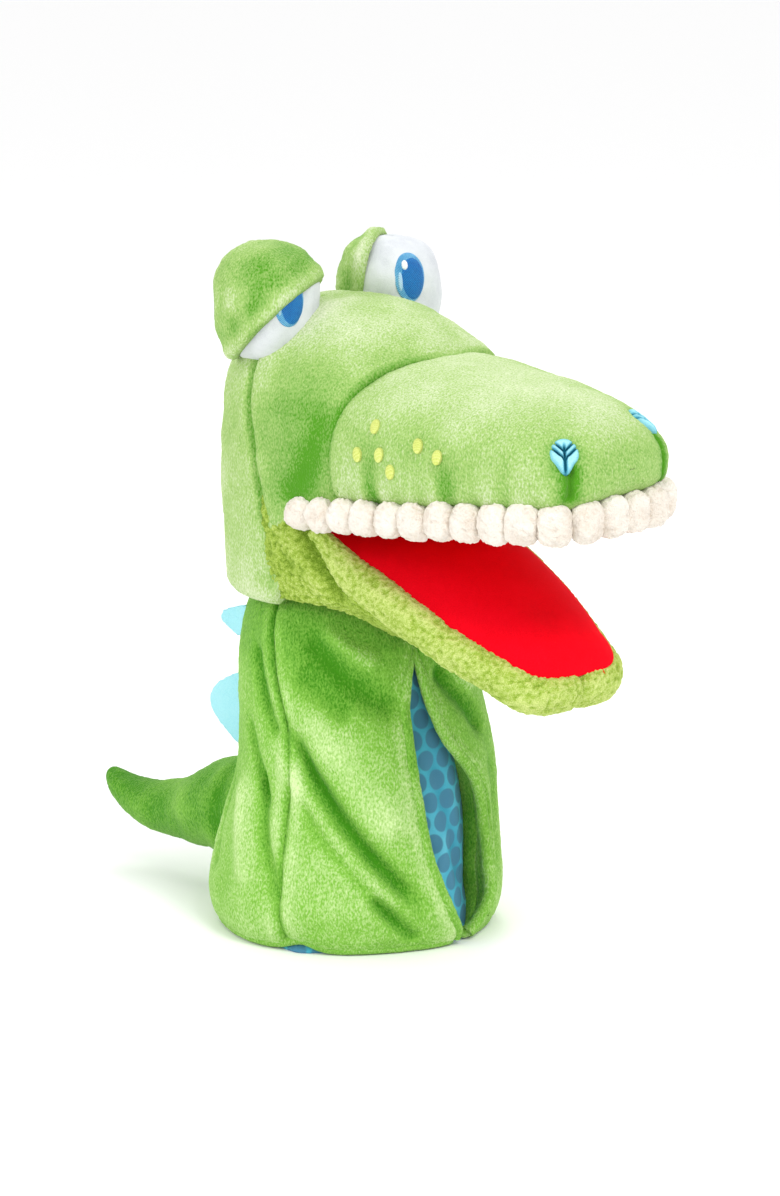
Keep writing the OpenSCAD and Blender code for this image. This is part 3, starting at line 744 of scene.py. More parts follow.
# Height, half width, reach to the front, squareness of the front, half depth at the back
HEAD = [(127.6, 37.5, 37.5, 2.0, 37.5), (126.8, 41.0, 41.0, 2.0, 41.0), (129.5, 44.8, 44.8, 2.0, 44.8),
        (135, 46.0, 46.0, 2.0, 46.0), (150, 47.0, 47.0, 2.2, 46.8), (165, 47.6, 53.0, 3.2, 47.2),
        (176, 47.8, 56.0, 4.0, 47.4), (190, 47.6, 57.0, 4.0, 47.2), (201, 46.6, 57.5, 3.6, 46.4),
        (210, 43.8, 57.0, 2.8, 44.0), (217, 39.8, 51.8, 2.4, 40.4), (224, 33.2, 43.6, 2.1, 34.6),
        (229.6, 25.5, 34.0, 2.0, 27.0), (233.6, 15.5, 21.0, 2.0, 17.0), (235.4, 5.0, 7.0, 2.0, 6.0)]
# How far the jaw is open at rest, and its hinge
JAW_TURN = math.radians(27.0)
HINGE = np.array([0.0, -17.0, 160.0])
# Where the rows of teeth start, their height there, how fast they rise forward, and the front of the nose
TEETH_Y, TEETH_Z, TEETH_RISE, NOSE_Y = -21.0, 163.0, 0.073, -131.0
# Half width of the mouth at its corners and at the nose
MOUTH_W, NOSE_W = 46.0, 28.0


def teeth_line(y):
    """Height of the seam that the teeth are sewn to, at a place along the snout."""
    return TEETH_Z + TEETH_RISE * (TEETH_Y - np.asarray(y, float))


def mouth_half(y):
    """Half the width of the mouth at a place along the snout."""
    return MOUTH_W - (MOUTH_W - NOSE_W) * ((TEETH_Y - np.asarray(y, float)) / (TEETH_Y - NOSE_Y)) ** 2


def from_jaw(local):
    """Point of the puppet from a point in the jaw's own frame, whose origin is the hinge."""
    p = np.asarray(local, float)
    c, s = math.cos(JAW_TURN), math.sin(JAW_TURN)
    return HINGE + np.stack([p[..., 0], p[..., 1] * c - p[..., 2] * s, p[..., 1] * s + p[..., 2] * c], -1)


def head_point(a, row):
    """Point of the head in direction a, on one row of HEAD."""
    z, half, reach, square, back = np.moveaxis(row, -1, 0)
    sn, cs = np.sin(np.radians(a)), np.cos(np.radians(a))
    deep = np.where(cs > 0, reach, back)
    power = np.where(cs > 0, square, 2.0)
    return around(a, (np.abs(sn / half) ** power + np.abs(cs / deep) ** power) ** (-1 / power), z)


def make_head():
    """Stuffed plush head with the seam of its back panel, open below for the hand."""
    a = np.linspace(0, 360, 300, endpoint=False)[:, None]
    t = np.concatenate([np.linspace(0, 3, 14)[:-1], np.linspace(3, len(HEAD) - 1, 150)])
    grid = head_point(a, curve_at(t, numbered(HEAD))[None])
    aside = np.abs((a + 180) % 360 - 180)
    # The rim is raised in front, behind the mouth
    rim = 173.0 - 10.0 * smooth(aside, 42, 56)
    grid[..., 2] += 0.96 * (1 - smooth(aside, 64, 85)) * np.clip(rim - grid[..., 2], 0, None)
    x, y, z = np.moveaxis(grid, -1, 0)
    behind = y + 5.0 - 13.0 * smooth(z, 140, 216)
    seam = bell(behind, 1.7) * smooth(np.abs(x), 4, 14)
    pucker = 0.5 * bell(behind, 6.0) * noise(grid * np.array([0.4, 0.4, 1.0]), 5.0, 51)
    rise = 0.9 * noise(grid, 24.0, 52) + 0.45 * noise(grid, 8.0, 53) + pucker
    rise = rise - 2.0 * seam * (0.3 + 0.7 * smooth(z, 148, 166))
    cheek = crease(y, z, [(-36, 206), (-29, 190), (-25, 178), (-12, 166)], 6.5, 1.5)
    rise = rise + cheek * np.where(x < 0, 1.0, 0.8)
    ahead = snout_seam(x, z) - y
    low = smooth(z, 166, 173)
    rise = rise - low * (4.5 * smooth(ahead, 0.2, 3.2) + 0.2 * bell(ahead, 3.0))
    # Painted light on the top of the head, with the back a little lighter too; painted shade on the cheek
    # beside the snout.
    crown_tone = 0.16 * smooth(z, 205, 228) * (1 - smooth(y, -10, 20)) + 0.10 * smooth(y, -4, 8)
    cheek_shade = 0.62 * bell(y + 20, 17) * (1 - smooth(z, 192, 232)) * smooth(z, 150, 172)
    # Raised places lighter and sunken ones darker, painted shade and light with some random tone, and a line
    # of painted shade where the snout meets the face.
    tone_and_shading = rise * 0.3 - 0.3 * bell(ahead, 1.0) * low - cheek_shade + crown_tone
    p = grid + outer_normals(grid, wrap_u=True) * (rise + fuzz(grid, 54))[..., None]
    head = bowl("head_plush", p, tone_and_shading, HEAD_THICK, PLUSH_LIGHT)
    settle(head, "head", "head_shell", "head_back_panel", "head_stuffing", fill=0.7)


# ---------------------------------------------------------------- snout

# Where the snout is sewn to the face, by the angle round the snout from its side to its top
SNOUT_SEAM = [(-90, -37), (-16, -37), (-4, -36), (22, -38), (38, -41.5), (55, -45.8), (70, -49.3),
              (90, -51.6)]


def snout_seam(x, z):
    """How far along the puppet the snout's seam is, level with a point."""
    return curve_at(np.degrees(np.arctan2(z - 185.0, np.abs(x))), SNOUT_SEAM)


# Place, half width, height of the lower edge over the teeth line, height of the top
SNOUT = [(-14, 42.0, 3.0, 210), (-22, 44.8, 1.5, 214), (-33, 46.7, 0.6, 217), (-57, 46.8, 0.6, 217.6),
         (-80, 44.0, 1.2, 214.4), (-103, 38.8, 2.2, 211.0), (-118, 34.0, 3.0, 207.4),
         (-127, 29.6, 4.0, 203.0), (-132.4, 24.0, 5.6, 197.8), (-135.2, 16.5, 8.6, 193.0),
         (-136.6, 8.0, 12.5, 189.2), (-137.0, 1.2, 15.2, 187.0)]
# Middles of the right and the left nostril, and each freckle's place along the snout and its height
NOSTRILS = [(-24.6, -128.0, 194.5), (21.3, -123.4, 201.6)]
FRECKLES = [(-57.5, 197.5), (-51, 187.5), (-61, 188.6), (-66, 183.2), (-77, 193), (-85.5, 190)]
# Share of the snout's height that is below its widest line, and how square it is above and below that
LOW_SHARE, SQUARE_TOP, SQUARE_LOW = 0.38, 2.35, 5.0


def far_lift(x, y):
    """The front of the mouth is a little higher at the left than at the right."""
    return (0.045 * np.asarray(x) + 0.6) * smooth(-np.asarray(y), 95, 130)


def snout_grid(rows, angles):
    """Rings of the snout; angle 0 is its right side, 90 its top."""
    y, half, low, high = rows.T[..., None]
    low = low + teeth_line(y)
    wide = low + LOW_SHARE * (high - low)
    c, s = np.cos(np.radians(angles)), np.sin(np.radians(angles))
    square = np.where(s > 0, SQUARE_TOP, SQUARE_LOW)
    r = (np.abs(c) ** square + np.abs(s) ** square) ** (-1 / square)
    x = -half * c * r
    z = wide + np.where(s > 0, high - wide, wide - low) * s * r
    z = z + far_lift(x, y) * (1 - smooth(z, 180, 200))
    return np.stack([x, np.broadcast_to(y, x.shape), z], -1)


def snout_side(y, z, side):
    """Sideways place of the snout's cheek at a place along it and a height above its widest line."""
    half, low, high = curve_at(-y, [(-r[0], *r[1:]) for r in SNOUT])
    low = low + teeth_line(y)
    wide = low + LOW_SHARE * (high - low)
    h = np.clip((z - wide) / (high - wide), 0, 0.999)
    return side * half * (1 - h ** SQUARE_TOP) ** (1 / SQUARE_TOP)


def make_snout():
    """Puffy stuffed snout: a closed form whose back end is sunk in the face, so the join reads as a seam."""
    t = np.concatenate([np.linspace(0.8, 3, 90)[:-1], np.linspace(3, 6, 90)[:-1], np.linspace(6, 11, 80)])
    p = snout_grid(curve_at(t, numbered(SNOUT)), np.linspace(0, 360, 260, endpoint=False))
    x, y, z = np.moveaxis(p, -1, 0)
    above = z - teeth_line(y)
    behind = y - snout_seam(x, z)
    rise = 0.8 * noise(p, 30.0, 61) + 0.4 * noise(p, 10.0, 62)
    rise = rise - 4.0 * smooth(behind, -0.5, 2.5) - 0.5 * bell(behind, 2.4)
    near = smooth(-y, 112, 120) * smooth(above, 3, 9)
    hollow_shade = 0.0
    for place in NOSTRILS:
        rise = rise - 2.6 * bell(np.linalg.norm(p - np.array(place), axis=-1), 6.0)
        path = [(place[0] * k, h) for k, h in ((1, place[2] - 2), (1.02, 187), (1.03, 180), (1.05, 172))]
        rise = rise + (crease(x, z, path, 1.1, 2.2) + crease(x, z, path, 5.0, 0.9)) * near
        # Darker round the darts below the nostril: painted shade in their hollow.
        hollow_shade = hollow_shade + crease(x, z, path, 3.5, 1.0) * near
    streaks = noise(np.stack([y, 0.3 * x, z * 0.22], -1), 8.0, 66) * (1 - smooth(above, 12, 30))
    streaks = streaks * (1 - smooth(-y, 108, 120)) * (1 - 0.8 * smooth(behind, -14, -2))
    gathers = 0.35 * np.sin(y * 2.0 * math.pi / 10.6 + 1.0) * bell(above - 6, 5)
    tip = 1 - smooth(-y, 135.6, 136.8)
    rise = (rise + 0.45 * streaks) * tip
    # Raised places, gathers and streaks lighter and sunken ones darker, painted shade and light; painted
    # shade in the dart hollows, along the seam to the face and in a band about the widest height; painted
    # light on the top.
    tone = rise * 0.25 + gathers * 0.4 + 0.6 * np.minimum(streaks, 0.15) + 0.6 * hollow_shade
    tone = tone - 0.22 * bell(behind, 1.0) + 0.18 * smooth(z, 192, 212) - 0.10 * bell(z - 186, 12)
    p = p + outer_normals(p, wrap_v=True) * (rise + (gathers + fuzz(p, 64)) * tip)[..., None]
    snout = solid("snout_plush", [(p, tone)], PLUSH_LIGHT)
    settle(snout, "head", "snout_cover", "snout_stuffing", "finger_pocket", fill=0.85)


def badge(place, size, height, sink=0.8, pleats=None, rings=14, sides=48, cut=None):
    """Form of a raised embroidered patch. place gives points and normals from two offsets in mm, pleats the
    tone value, painted shade and light which also raises the dome, from the share of the way out and the
    angle, and cut the width of the outline at each angle."""
    rho = np.concatenate([np.linspace(0.012, 0.9, rings), [0.96, 1.0]])[:, None]
    phi = np.linspace(0, 2 * math.pi, sides, endpoint=False)
    wide = rho if cut is None else rho * cut(phi)
    base, n = place(np.cos(phi) * size[0] * wide, np.sin(phi) * size[1] * wide)
    tone_and_shading = 0 * rho * phi if pleats is None else pleats(rho, phi)
    dome = height * (np.sqrt(np.clip(1 - rho ** 4, 0, 1)) + 0.7 * tone_and_shading)
    under = (base - n * sink)[::-1]
    return np.concatenate([base + n * dome[..., None], under]), np.concatenate([tone_and_shading, tone_and_shading[::-1]])


def nearest_on(grid, normals, point):
    """Point of a grid that is nearest to a point, and the normal there."""
    away = np.linalg.norm(grid - np.array(point), axis=-1)
    spot = np.unravel_index(np.argmin(away), away.shape)
    return grid[spot], normals[spot]


def flat_place(point, n, bow, spin, dip):
    """Surface for a badge: a shallow dome about a point, bowed by 1/bow, turned by spin degrees."""
    up = unit(np.array([0.0, 0.0, 1.0]) - n * n[2])
    side = np.cross(up, n)
    c, s = math.cos(math.radians(spin)), math.sin(math.radians(spin))
    side, up = side * c + up * s, up * c - side * s

    def place(u, v):
        u, v = u[..., None], v[..., None]
        tilt = n + u * bow * side + v * bow * up
        p = point + u * side + v * up + (dip - (u ** 2 + v ** 2) * bow / 2) * n
        return p, unit(tilt)
    return place


def veins(rho, phi):
    """Tone value of a nostril, which also shapes it: puckered cloth drawn in along a stem and its branches,
    lower and darker there with painted shade.
    """
    across, up = np.abs(rho * np.cos(phi)), rho * np.sin(phi)
    stem = bell(across, 0.11) * (1 - smooth(up, 0.3, 0.8))
    sides = bell(up - 0.9 * across + 0.40, 0.12) + bell(up - 0.9 * across - 0.12, 0.12)
    return np.clip(0.55 - 1.5 * np.maximum(stem, sides), -1, 1) * (1 - 0.5 * smooth(rho, 0.8, 1.0))


def heart(phi):
    """Outline of a nostril: round, but drawn out below."""
    return 1.0 + 0.26 * bell(phi - 1.5 * math.pi, 0.35) - 0.10 * bell(np.abs(phi - 1.5 * math.pi) - 0.8, 0.35)


def make_face():
    """Nostrils and freckles of the snout."""
    rows = curve_at(np.linspace(0, 11, 500), numbered(SNOUT))
    grid = snout_grid(rows, np.linspace(0, 360, 300, endpoint=False))
    n = outer_normals(grid, wrap_v=True)
    for side, word, middle in ((-1, "right", NOSTRILS[0]), (1, "left", NOSTRILS[1])):
        place = flat_place(*nearest_on(grid, n, middle), -0.02, 0.0, -2.4)
        form = badge(place, (5.0, 5.7), 1.5, 1.2, veins, 26, 72, heart)
        nostril = solid(f"nostril_{word}_satin", [form], NOSTRIL)
        settle(nostril, "head", f"nostril_{word}")
        spots = []
        for k, (y, z) in enumerate(FRECKLES):
            spot = nearest_on(grid, n, (snout_side(y, z, side), y, z))
            place = flat_place(*spot, 0.02, 8 * math.sin(2.1 * k), 0.6)
            spots.append(badge(place, (1.9, 2.7), 0.55, 2.0, rings=8, sides=24))
        freckles = solid(f"freckles_{word}_stitching", spots, STITCH_YELLOW)
        settle(freckles, "head", f"freckles_{word}")


# ---------------------------------------------------------------- teeth

def tooth_form(centre, turn, size, square, seed):
    """Form of one fluffy stuffed tooth."""
    d = directions(np.linspace(-88, 88, 36), 44)
    r = (np.abs(d) ** square).sum(-1) ** (-1 / square)
    p = d * r[..., None] * np.array(size)
    p[..., 2] -= 0.12 * np.abs(p[..., 0]) * (p[..., 2] < 0)
    q = p + seed * 37.0
    rise = 0.6 * noise(q, 5.0, seed) + 0.6 * bobbles(q, 1.3, 71) - 0.2 + 0.3 * noise(q, 0.8, 73)
    p = p + unit(p) * rise[..., None]
    c, s = math.cos(turn), math.sin(turn)
    # Tone: lighter on the fleece's bumps and darker in its dips, painted shade, with some random tone.
    return p @ np.array([[c, s, 0], [-s, c, 0], [0, 0, 1]]) + np.array(centre), rise * 0.7


def make_teeth():
    """Fluffy stuffed teeth: round ones at the sides, squarer towards the nose."""
    pitch, last = 10.6, 10
    rows = {"right": [], "left": [], "front": []}
    for side, word in ((-1, "right"), (1, "left")):
        for i in range(last + 1):
            y = TEETH_Y - pitch * i if i < last else -125.9
            x = side * (mouth_half(y) if i < last else 26.8)
            share = i / last
            wave = hashed(np.int64(i), np.int64(side), 3, 5)
            turn = side * (math.radians(90) - 0.25 * share - (0.35 if i == last else 0.0))
            size = (6.0 + 0.1 * share, 5.8 - 0.1 * share, 6.1 + 1.2 * share)
            place = (x, y, teeth_line(y) + far_lift(x, y) - 0.2 + 0.4 * wave)
            rows[word].append(tooth_form(place, turn, size, 2.0 + 0.5 * share, 11 + i + 20 * (side > 0)))
    for k, (x, y, turn) in enumerate([(-16.4, -131.2, 0.30), (-5.5, -132.2, 0.05), (5.5, -132.2, -0.05),
                                      (16.4, -131.2, -0.30)]):
        place = (x, y, teeth_line(y) + far_lift(x, y) - 0.6)
        rows["front"].append(tooth_form(place, turn, (6.0, 5.4, 7.3), 2.5, 61 + k))
    for word, forms in rows.items():
        row = solid(f"teeth_{word}_fleece", forms, FLEECE)
        settle(row, "head", f"teeth_{word}", fill=0.8)


# ---------------------------------------------------------------- eyes

# Middle of the left eye, and half the size of an eye
EYE = np.array([31.0, 10.0, 233.0])
EYE_SIZE = np.array([16.6, 16.4, 20.2])
# Normal of the plane at which each lid ends, how far it is from the centre, and where the iris looks
LIDS = {-1: ((-0.34, 0.60, 0.70), -4.8), 1: ((-0.50, 0.84, 0.16), 7.6)}
GAZE = {-1: (-0.31, -0.91, 0.14), 1: (-0.34, -0.90, 0.30)}
POD = 2.7      # squareness of an eye pod


def eye_frame(axis):
    """Three unit directions at right angles, the last along an axis."""
    w = unit(np.array(axis))
    u = unit(np.cross([0.0, 0.0, 1.0], w))
    return u, np.cross(w, u), w


def pod(d, extra=0.0):
    """Point of an eye pod, from its middle, in each direction d."""
    r = (np.abs(d) ** POD).sum(-1, keepdims=True) ** (-1 / POD)
    return d * r * EYE_SIZE + d * extra


def make_eyelid(side, word, centre):
    """Plush lid over the back and top of an eye, with a turned edge."""
    normal, offset = LIDS[side]
    u, v, w = eye_frame(normal)
    lon = np.linspace(0, 2 * math.pi, 130, endpoint=False)[:, None]
    every = np.radians(np.linspace(2, 178, 177))

    def way(theta):
        c, s = np.cos(lon)[..., None], np.sin(lon)[..., None]
        return np.sin(theta)[..., None] * (c * u + s * v) + np.cos(theta)[..., None] * w
    reach = pod(way(every[None])) @ w
    edge = np.array([np.interp(-offset, -row, every) for row in reach])[:, None]
    share = np.concatenate([[-0.035, -0.01], np.linspace(0.0, 0.985, 72)])
    d = way(edge * (1 - share))
    in_mm = edge * share * 18.0
    over = np.where(share < 0, np.where(share < -0.02, 0.4, 1.8), 2.6)[:, None]
    p = centre + pod(d, over)
    rise = 0.9 * noise(p, 13.0, 83 + side) + 0.4 * noise(p, 5.0, 86)
    rise = rise + 0.7 * bell(in_mm - 1.5, 2.2) - 0.5 * bell(in_mm - 6, 2.5)
    rough = 0.18 * noise(p, 1.4, 84) + 0.12 * noise(p, 0.8, 85)
    # Tone: lighter on the rolled edge and on bumps, darker in the groove behind the edge and in dips: painted
    # shade.
    lid = bowl(f"eyelid_{word}_plush", p + d * (rise + rough)[..., None], rise * 0.4 - 0.1, LID_THICK,
               PLUSH_LIGHT)
    settle(lid, "head", f"eyelid_{word}")


# Embroidery of each eye: name, material, slot, offset from the gaze, half size, height, rings and sides
STITCHES = [("iris", STITCH_BLUE, "embroidery_blue", (0.0, 0.0), (6.6, 8.0), 0.6, 14, 48),
            ("pupil", STITCH_NAVY, "embroidery_blue", (-0.8, -0.5), (5.2, 6.8), 0.95, 14, 48),
            ("glint", STITCH_WHITE, "eye_white", (2.4, 3.4), (1.2, 1.6), 1.3, 8, 28),
            ("gleam", STITCH_PALE, "embroidery_blue", (4.4, -1.2), (0.9, 3.0), 0.85, 8, 28)]


def make_eyes():
    """Stuffed white eyes, each partly under a plush lid, with an embroidered iris."""
    for side, word in ((-1, "right"), (1, "left")):
        centre = EYE * np.array([side, 1, 1])
        d = directions(np.linspace(-89.3, 89.3, 80), 96)
        p = centre + pod(d)
        rise = 0.6 * noise(p, 8.0, 81) + 0.25 * noise(p, 3.4, 87) + 0.08 * noise(p, 1.4, 82)
        # Tone: lighter on bumps and darker in dents, painted shade.
        ball = solid(f"eye_{word}_satin", [(p + d * rise[..., None], rise * 0.5)], EYE_WHITE)
        settle(ball, "head", f"eyeball_{word}", fill=0.9)
        make_eyelid(side, word, centre)
        look = unit(np.array(GAZE[side]))
        a, b, _ = eye_frame(-look)
        for part, material, slot, offset, size, height, rings, sides in STITCHES:
            def place(x, y):
                way = unit(look * 17.5 + (x + offset[0])[..., None] * a + (y + offset[1])[..., None] * b)
                return centre + pod(way, 0.2), unit(way / EYE_SIZE)
            form = badge(place, size, height, rings=rings, sides=sides)
            piece = solid(f"{part}_{word}_stitching", [form], material)
            settle(piece, "head", *([f"iris_{word}"] if part == "iris" else []))


# ---------------------------------------------------------------- mouth and jaw

JAW_LEN = 114.0     # from the hinge to the front of the lower lip


def jaw_outline(inset, rear, count):
    """Evenly spaced points of the jaw's outline in its own frame, from the right rear to the left rear."""
    corner, cx, cy = 20.0 - inset, 10.5, -JAW_LEN + 20.0
    side = [(42.6 - inset, rear), (40.4 - inset, -58), (36.0 - inset, -78)]
    side += [(cx + corner * math.cos(t), cy - corner * math.sin(t)) for t in np.radians(np.arange(0, 91, 15))]
    return resample([(-x, y) for x, y in side] + side[::-1], count)


def mouth_pad(name, y, half, height, thick, seed, faces_up, place=lambda p: p):
    """Velour pad of the mouth: half is its half width at each y, and height its crown, from the share of
    the half width and from y."""
    share = np.sin(np.radians(np.linspace(-90, 90, 100))) + 0 * y[:, None]
    y = np.broadcast_to(y[:, None], share.shape)
    p = np.stack([half[:, None] * share, y, height(share, y)], -1)
    wrinkle = 0.5 * noise(p, 14.0, seed) * (1 - share ** 4)
    p[..., 2] += wrinkle + 0.06 * noise(p, 1.1, seed + 1)
    p = place(p)
    if (normals_of(p)[..., 2].mean() > 0) != faces_up:
        p, wrinkle = p[::-1], wrinkle[::-1]
    # Tone: lighter on the wrinkles and darker between them, painted shade.
    return cloth_panel(name, p, wrinkle * 0.25, thick, VELOUR)


def make_mouth():
    """Red velour roof and floor of the mouth, folded at the hinge."""
    y = np.linspace(-17, NOSE_Y + 5.5, 64)
    half = mouth_half(y) - 6.4 - 3.0 * smooth(-y, 116, 127)

    def roof(share, y):
        lift = far_lift(share * (mouth_half(y) - 9.0), y) - 4.4 * smooth(y, -25, -16)
        return teeth_line(y) + lift - 1.8 + smooth(1 - np.abs(share), 0, 0.6)
    palate = mouth_pad("palate_velour", y, half, roof, 5.0, 91, False)
    settle(palate, "head", "palate_cover", "palate_board", fill=0.4)

    corner, bend = 14.8, -JAW_LEN + 20.0
    turn = np.radians(np.linspace(0, 88, 26))
    y = np.concatenate([np.linspace(-7, bend, 74)[:-1], bend - corner * np.sin(turn)])
    sides = [(7, 39.6), (18, 38.8), (27, 38.0), (40, 36.7), (58, 35.2), (78, 30.8), (-bend, 10.5 + corner)]
    rounded = 10.5 + corner * np.sqrt(np.clip(1 - ((bend - y) / corner) ** 2, 0, 1))
    half = np.where(y < bend, rounded, curve_at(-y, sides))

    def floor(share, y):
        end = np.clip((y - bend + corner) / 26.0, 0, 1)
        crown = (1 - np.abs(share) ** 2.6) ** 0.75 * (1 - (1 - end) ** 2.6) ** 0.75
        return 0.2 + 10.5 * crown * smooth(-y, 6, 50) + 1.2 * share
    tongue = mouth_pad("tongue_velour", y, half, floor, 3.4, 95, True, from_jaw)
    settle(tongue, "jaw", "tongue_cover", "tongue_board", fill=0.4)


def terry(p, n, seed):
    """Bobbly terry pile: points pushed out by rounded loops, and a tone value for each: lighter on the loops
    and darker between them, painted shade, with some random tone.
    """
    loops, slow = bobbles(p, 1.5, seed), noise(p, 9.0, seed + 5)
    rise = 0.8 * loops + 0.5 * slow + 0.15 * noise(p, 0.8, seed + 6)
    return p + n * rise[..., None], np.clip(loops * 1.5 - 0.75 + 0.3 * slow, -1, 1)


def make_jaw():
    """Bobbly terry lip round the lower jaw, and the chin below it: a closed pad whose rings shrink from the
    jaw's outline onto a line."""
    rear = [(-42.6, -7.5), (-41.4, -15.0), (-39.9, -24.0)]
    flat = resample(np.vstack([rear, jaw_outline(5.2, -36, 200), [(-x, y) for x, y in rear[::-1]]]), 330)
    back = smooth(-flat[:, 1], 6, 34)
    path = np.column_stack([flat, -5.9 * back + 0.2 * (1 - back)])
    t = unit(np.gradient(path, axis=0))
    side = unit(np.cross(t, [0.0, 0.0, 1.0]))
    wide, tall = side * (2.2 + 3.0 * back)[:, None], np.cross(side, t) * (3.0 + 3.7 * back)[:, None]
    ang = np.linspace(0, 2 * math.pi, 54, endpoint=False)[:, None]
    spread = wide[:, None] * np.cos(ang) + tall[:, None] * np.sin(ang)
    n = unit(spread)
    p = path[:, None] + spread
    front_seam = -1.8 * bell(p[..., 0], 1.6) * smooth(-p[..., 1], 100, 112)
    p, tone_and_shading = terry(p + n * front_seam[..., None], n, 101)
    # The terry's painted shade between the loops, and the whole lip a little lighter.
    lip = solid("lip_terry", [(from_jaw(p), tone_and_shading + 0.25)], TERRY)
    settle(lip, "jaw", "lip_roll", fill=0.8)

    edge = resample(jaw_outline(5.0, -44, 160), 200)
    share = np.sin(np.linspace(0.0, 1.0, 44) * math.pi / 2)[:, None]
    line = np.stack([edge[:, 0] * 0.02, np.clip(edge[:, 1], -100, -56)], -1)
    flat = edge + (line - edge) * share[..., None]
    height = 10.5 + 6.0 * smooth(share, 0, 0.5) + 0 * flat[..., 0]
    q = np.dstack([flat, height]) + 1221.0
    wrinkle = 0.35 * noise(q, 12.0, 111) * share + 0.3 * noise(q, 1.1, 112)
    top = np.dstack([flat, height + wrinkle])
    under = np.dstack([flat, 0 * height + top[0, :, 2].min() - 4.0])[::-1]
    p = from_jaw(np.concatenate([under, top]) * np.array([1, 1, -1]))
    # Tone of the chin's top: lighter on wrinkles and darker between them, painted shade.
    chin = solid("chin_terry", [(p, np.concatenate([0 * wrinkle, wrinkle * 0.8]))], TERRY)
    settle(chin, "jaw", "chin_cover", "jaw_stuffing", "thumb_pocket", fill=0.7)


# Columns of the throat on the right side, from the seam of the head to the middle: low, middle, high point
THROAT = [[(-42.6, -1.0, 129.0), (-46.2, -1.0, 146.0), (-46.6, -2.0, 167.0)],
          [(-41.8, -14.0, 129.5), (-46.2, -15.0, 144.0), (-45.8, -18.0, 163.0)],
          [(-39.6, -25.0, 129.0), (-43.4, -29.0, 139.0), (-42.6, -33.0, 151.0)],
          [(-35.0, -33.5, 127.5), (-39.8, -43.0, 132.0), (-39.0, -50.0, 138.0)],
          [(-27.0, -39.0, 122.0), (-31.0, -50.0, 123.5), (-32.0, -60.0, 126.0)],
          [(-14.0, -43.0, 115.0), (-16.0, -53.0, 118.5), (-17.0, -62.0, 123.0)],
          [(0.0, -44.2, 112.5), (0.0, -55.0, 117.0), (0.0, -63.0, 122.0)]]


# Folds of its cheeks: line of (distance forward, height), width, depth (below 0 is a ridge)
THROAT_FOLDS = [([(19, 160), (26, 150), (33, 141), (40, 131)], 2.2, 2.6),
                ([(12, 158), (20, 146), (28, 136), (34, 128)], 3.2, -1.4)]


def make_throat():
    """Lime terry throat, from the cheeks and the neck to the jaw."""
    rows = np.array(THROAT)
    whole = np.concatenate([rows, (rows * np.array([-1, 1, 1]))[::-1][1:]])
    s, t = np.linspace(0, len(whole) - 1, 240), np.linspace(0, 2, 60)
    across = curve_at(s, numbered(whole.reshape(-1, 9))).reshape(-1, 3, 3)
    p = np.stack([curve_at(t, numbered(column)) for column in across])
    if (normals_of(p) * (p - np.array([0.0, 0.0, 135.0]))).sum(-1).mean() < 0:
        p = p[::-1]
    n = normals_of(p)
    x, y, z = np.moveaxis(p, -1, 0)
    fold = sum(crease(-y, z, *row) for row in THROAT_FOLDS) * smooth(np.abs(x), 18, 30)
    p, tone_and_shading = terry(p + n * fold[..., None], n, 121)
    # Painted shade: darker in the folds and between the loops, and darker overall under the jaw.
    throat = cloth_panel("throat_terry", p, tone_and_shading + fold * 0.3 - 0.55, PLUSH_THICK, TERRY)
    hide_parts("throat_panel", "cheek_gusset_right", "cheek_gusset_left")
    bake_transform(throat)


# ---------------------------------------------------------------- tail and neck

# Place, height of the middle and radius
TAIL = [(46.0, 33.0, 19.0), (52.0, 32.5, 19.5), (60.0, 32.0, 19.0), (71.0, 31.0, 17.2), (80.0, 28.5, 15.0),
        (90.0, 25.5, 12.2), (102.0, 23.8, 10.4), (114.0, 23.8, 9.2), (124.0, 25.4, 7.7), (131.0, 27.8, 6.2),
        (135.6, 30.0, 4.2), (138.0, 31.0, 1.6)]


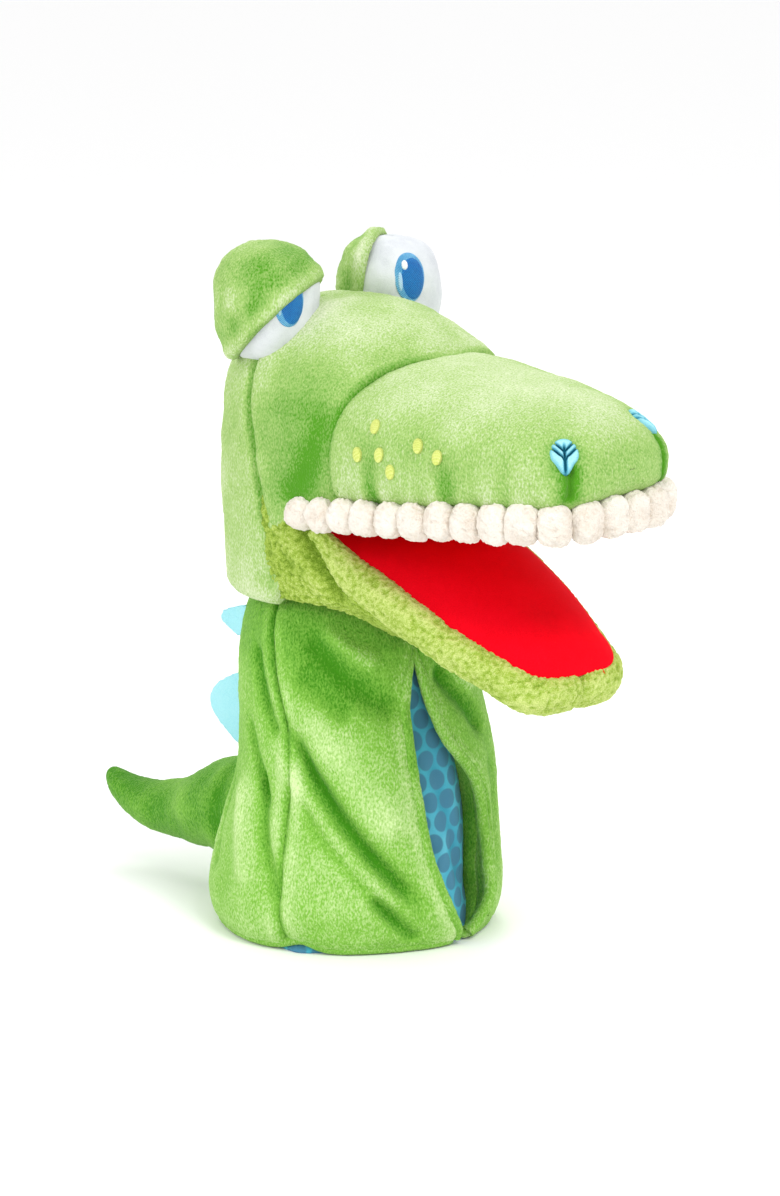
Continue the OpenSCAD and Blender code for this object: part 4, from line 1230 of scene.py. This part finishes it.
def make_tail():
    """Stuffed plush tail that narrows and turns up a little at its tip."""
    y, middle, r = curve_at(np.linspace(0, len(TAIL) - 1, 190), numbered(TAIL)).T[..., None]
    ang = np.linspace(0, 2 * math.pi, 90, endpoint=False)
    c, s = np.cos(ang) + 0 * r, np.sin(ang) + 0 * r
    p = np.stack([r * c, y + 0 * c, middle + r * s * 1.03], -1)
    n = np.stack([c, 0 * c, s], -1)
    under = 1.3 * bell(ang - 1.5 * math.pi, 0.10) * smooth(y, 50, 60)
    rings = 0.8 * np.sin(y / 4.2 + 1.5 * c) * bell(y - 57, 6)
    rise = 0.8 * noise(p, 16.0, 131) + 0.4 * noise(p, 6.0, 132) - under + rings
    p = p + n * ((rise + fuzz(p, 133, 1.5)) * smooth(138.5 - y, 0, 6))[..., None]
    # Tone: lighter on bumps, darker in dips and in the groove underneath, painted shade; the whole tail is
    # darker.
    tail = solid("tail_plush", [(p, rise * 0.35 - 0.50)], PLUSH)
    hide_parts("tail_skin", "tail_stuffing")
    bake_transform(tail)


def make_neck():
    """Cotton tube that leads the hand from the body into the head."""
    a, z = np.meshgrid(np.linspace(0, 360, 150, endpoint=False), np.linspace(97.2, 133.8, 50), indexing="ij")
    r = curve_at(z, [(97, 27.8), (103, 28.6), (110, 28.6), (120, 27.4), (134, 25.6)])
    wrinkle = 0.35 * noise(around(a, r, z), 9.0, 141) + 0.2 * np.sin(np.radians(a) * 20) * bell(z - 98, 3)
    p = around(a, r + wrinkle, z)
    uv = np.stack([a * math.radians(28), z], -1)
    # The wrinkles give the tone too: darker in creases and lighter on ridges, painted shade.
    tube = cloth_panel("palm_tube_cotton", p[::-1], wrinkle[::-1], COTTON_THICK, COTTON,
                       wrap_u=True, uv=uv[::-1])
    settle(tube, "neck", "palm_tube")


# ---------------------------------------------------------------- the whole puppet

look_from(azimuth=-45.0, elevation=11.67, distance=1.454, target=(0.0099, -0.0099, 0.1222), lens=118.6)
studio()
make_body()
make_neck()
make_head()
make_snout()
make_face()
make_teeth()
make_eyes()
make_mouth()
make_jaw()
make_throat()
make_tail()
bpy.context.scene.view_settings.view_transform = "Standard"
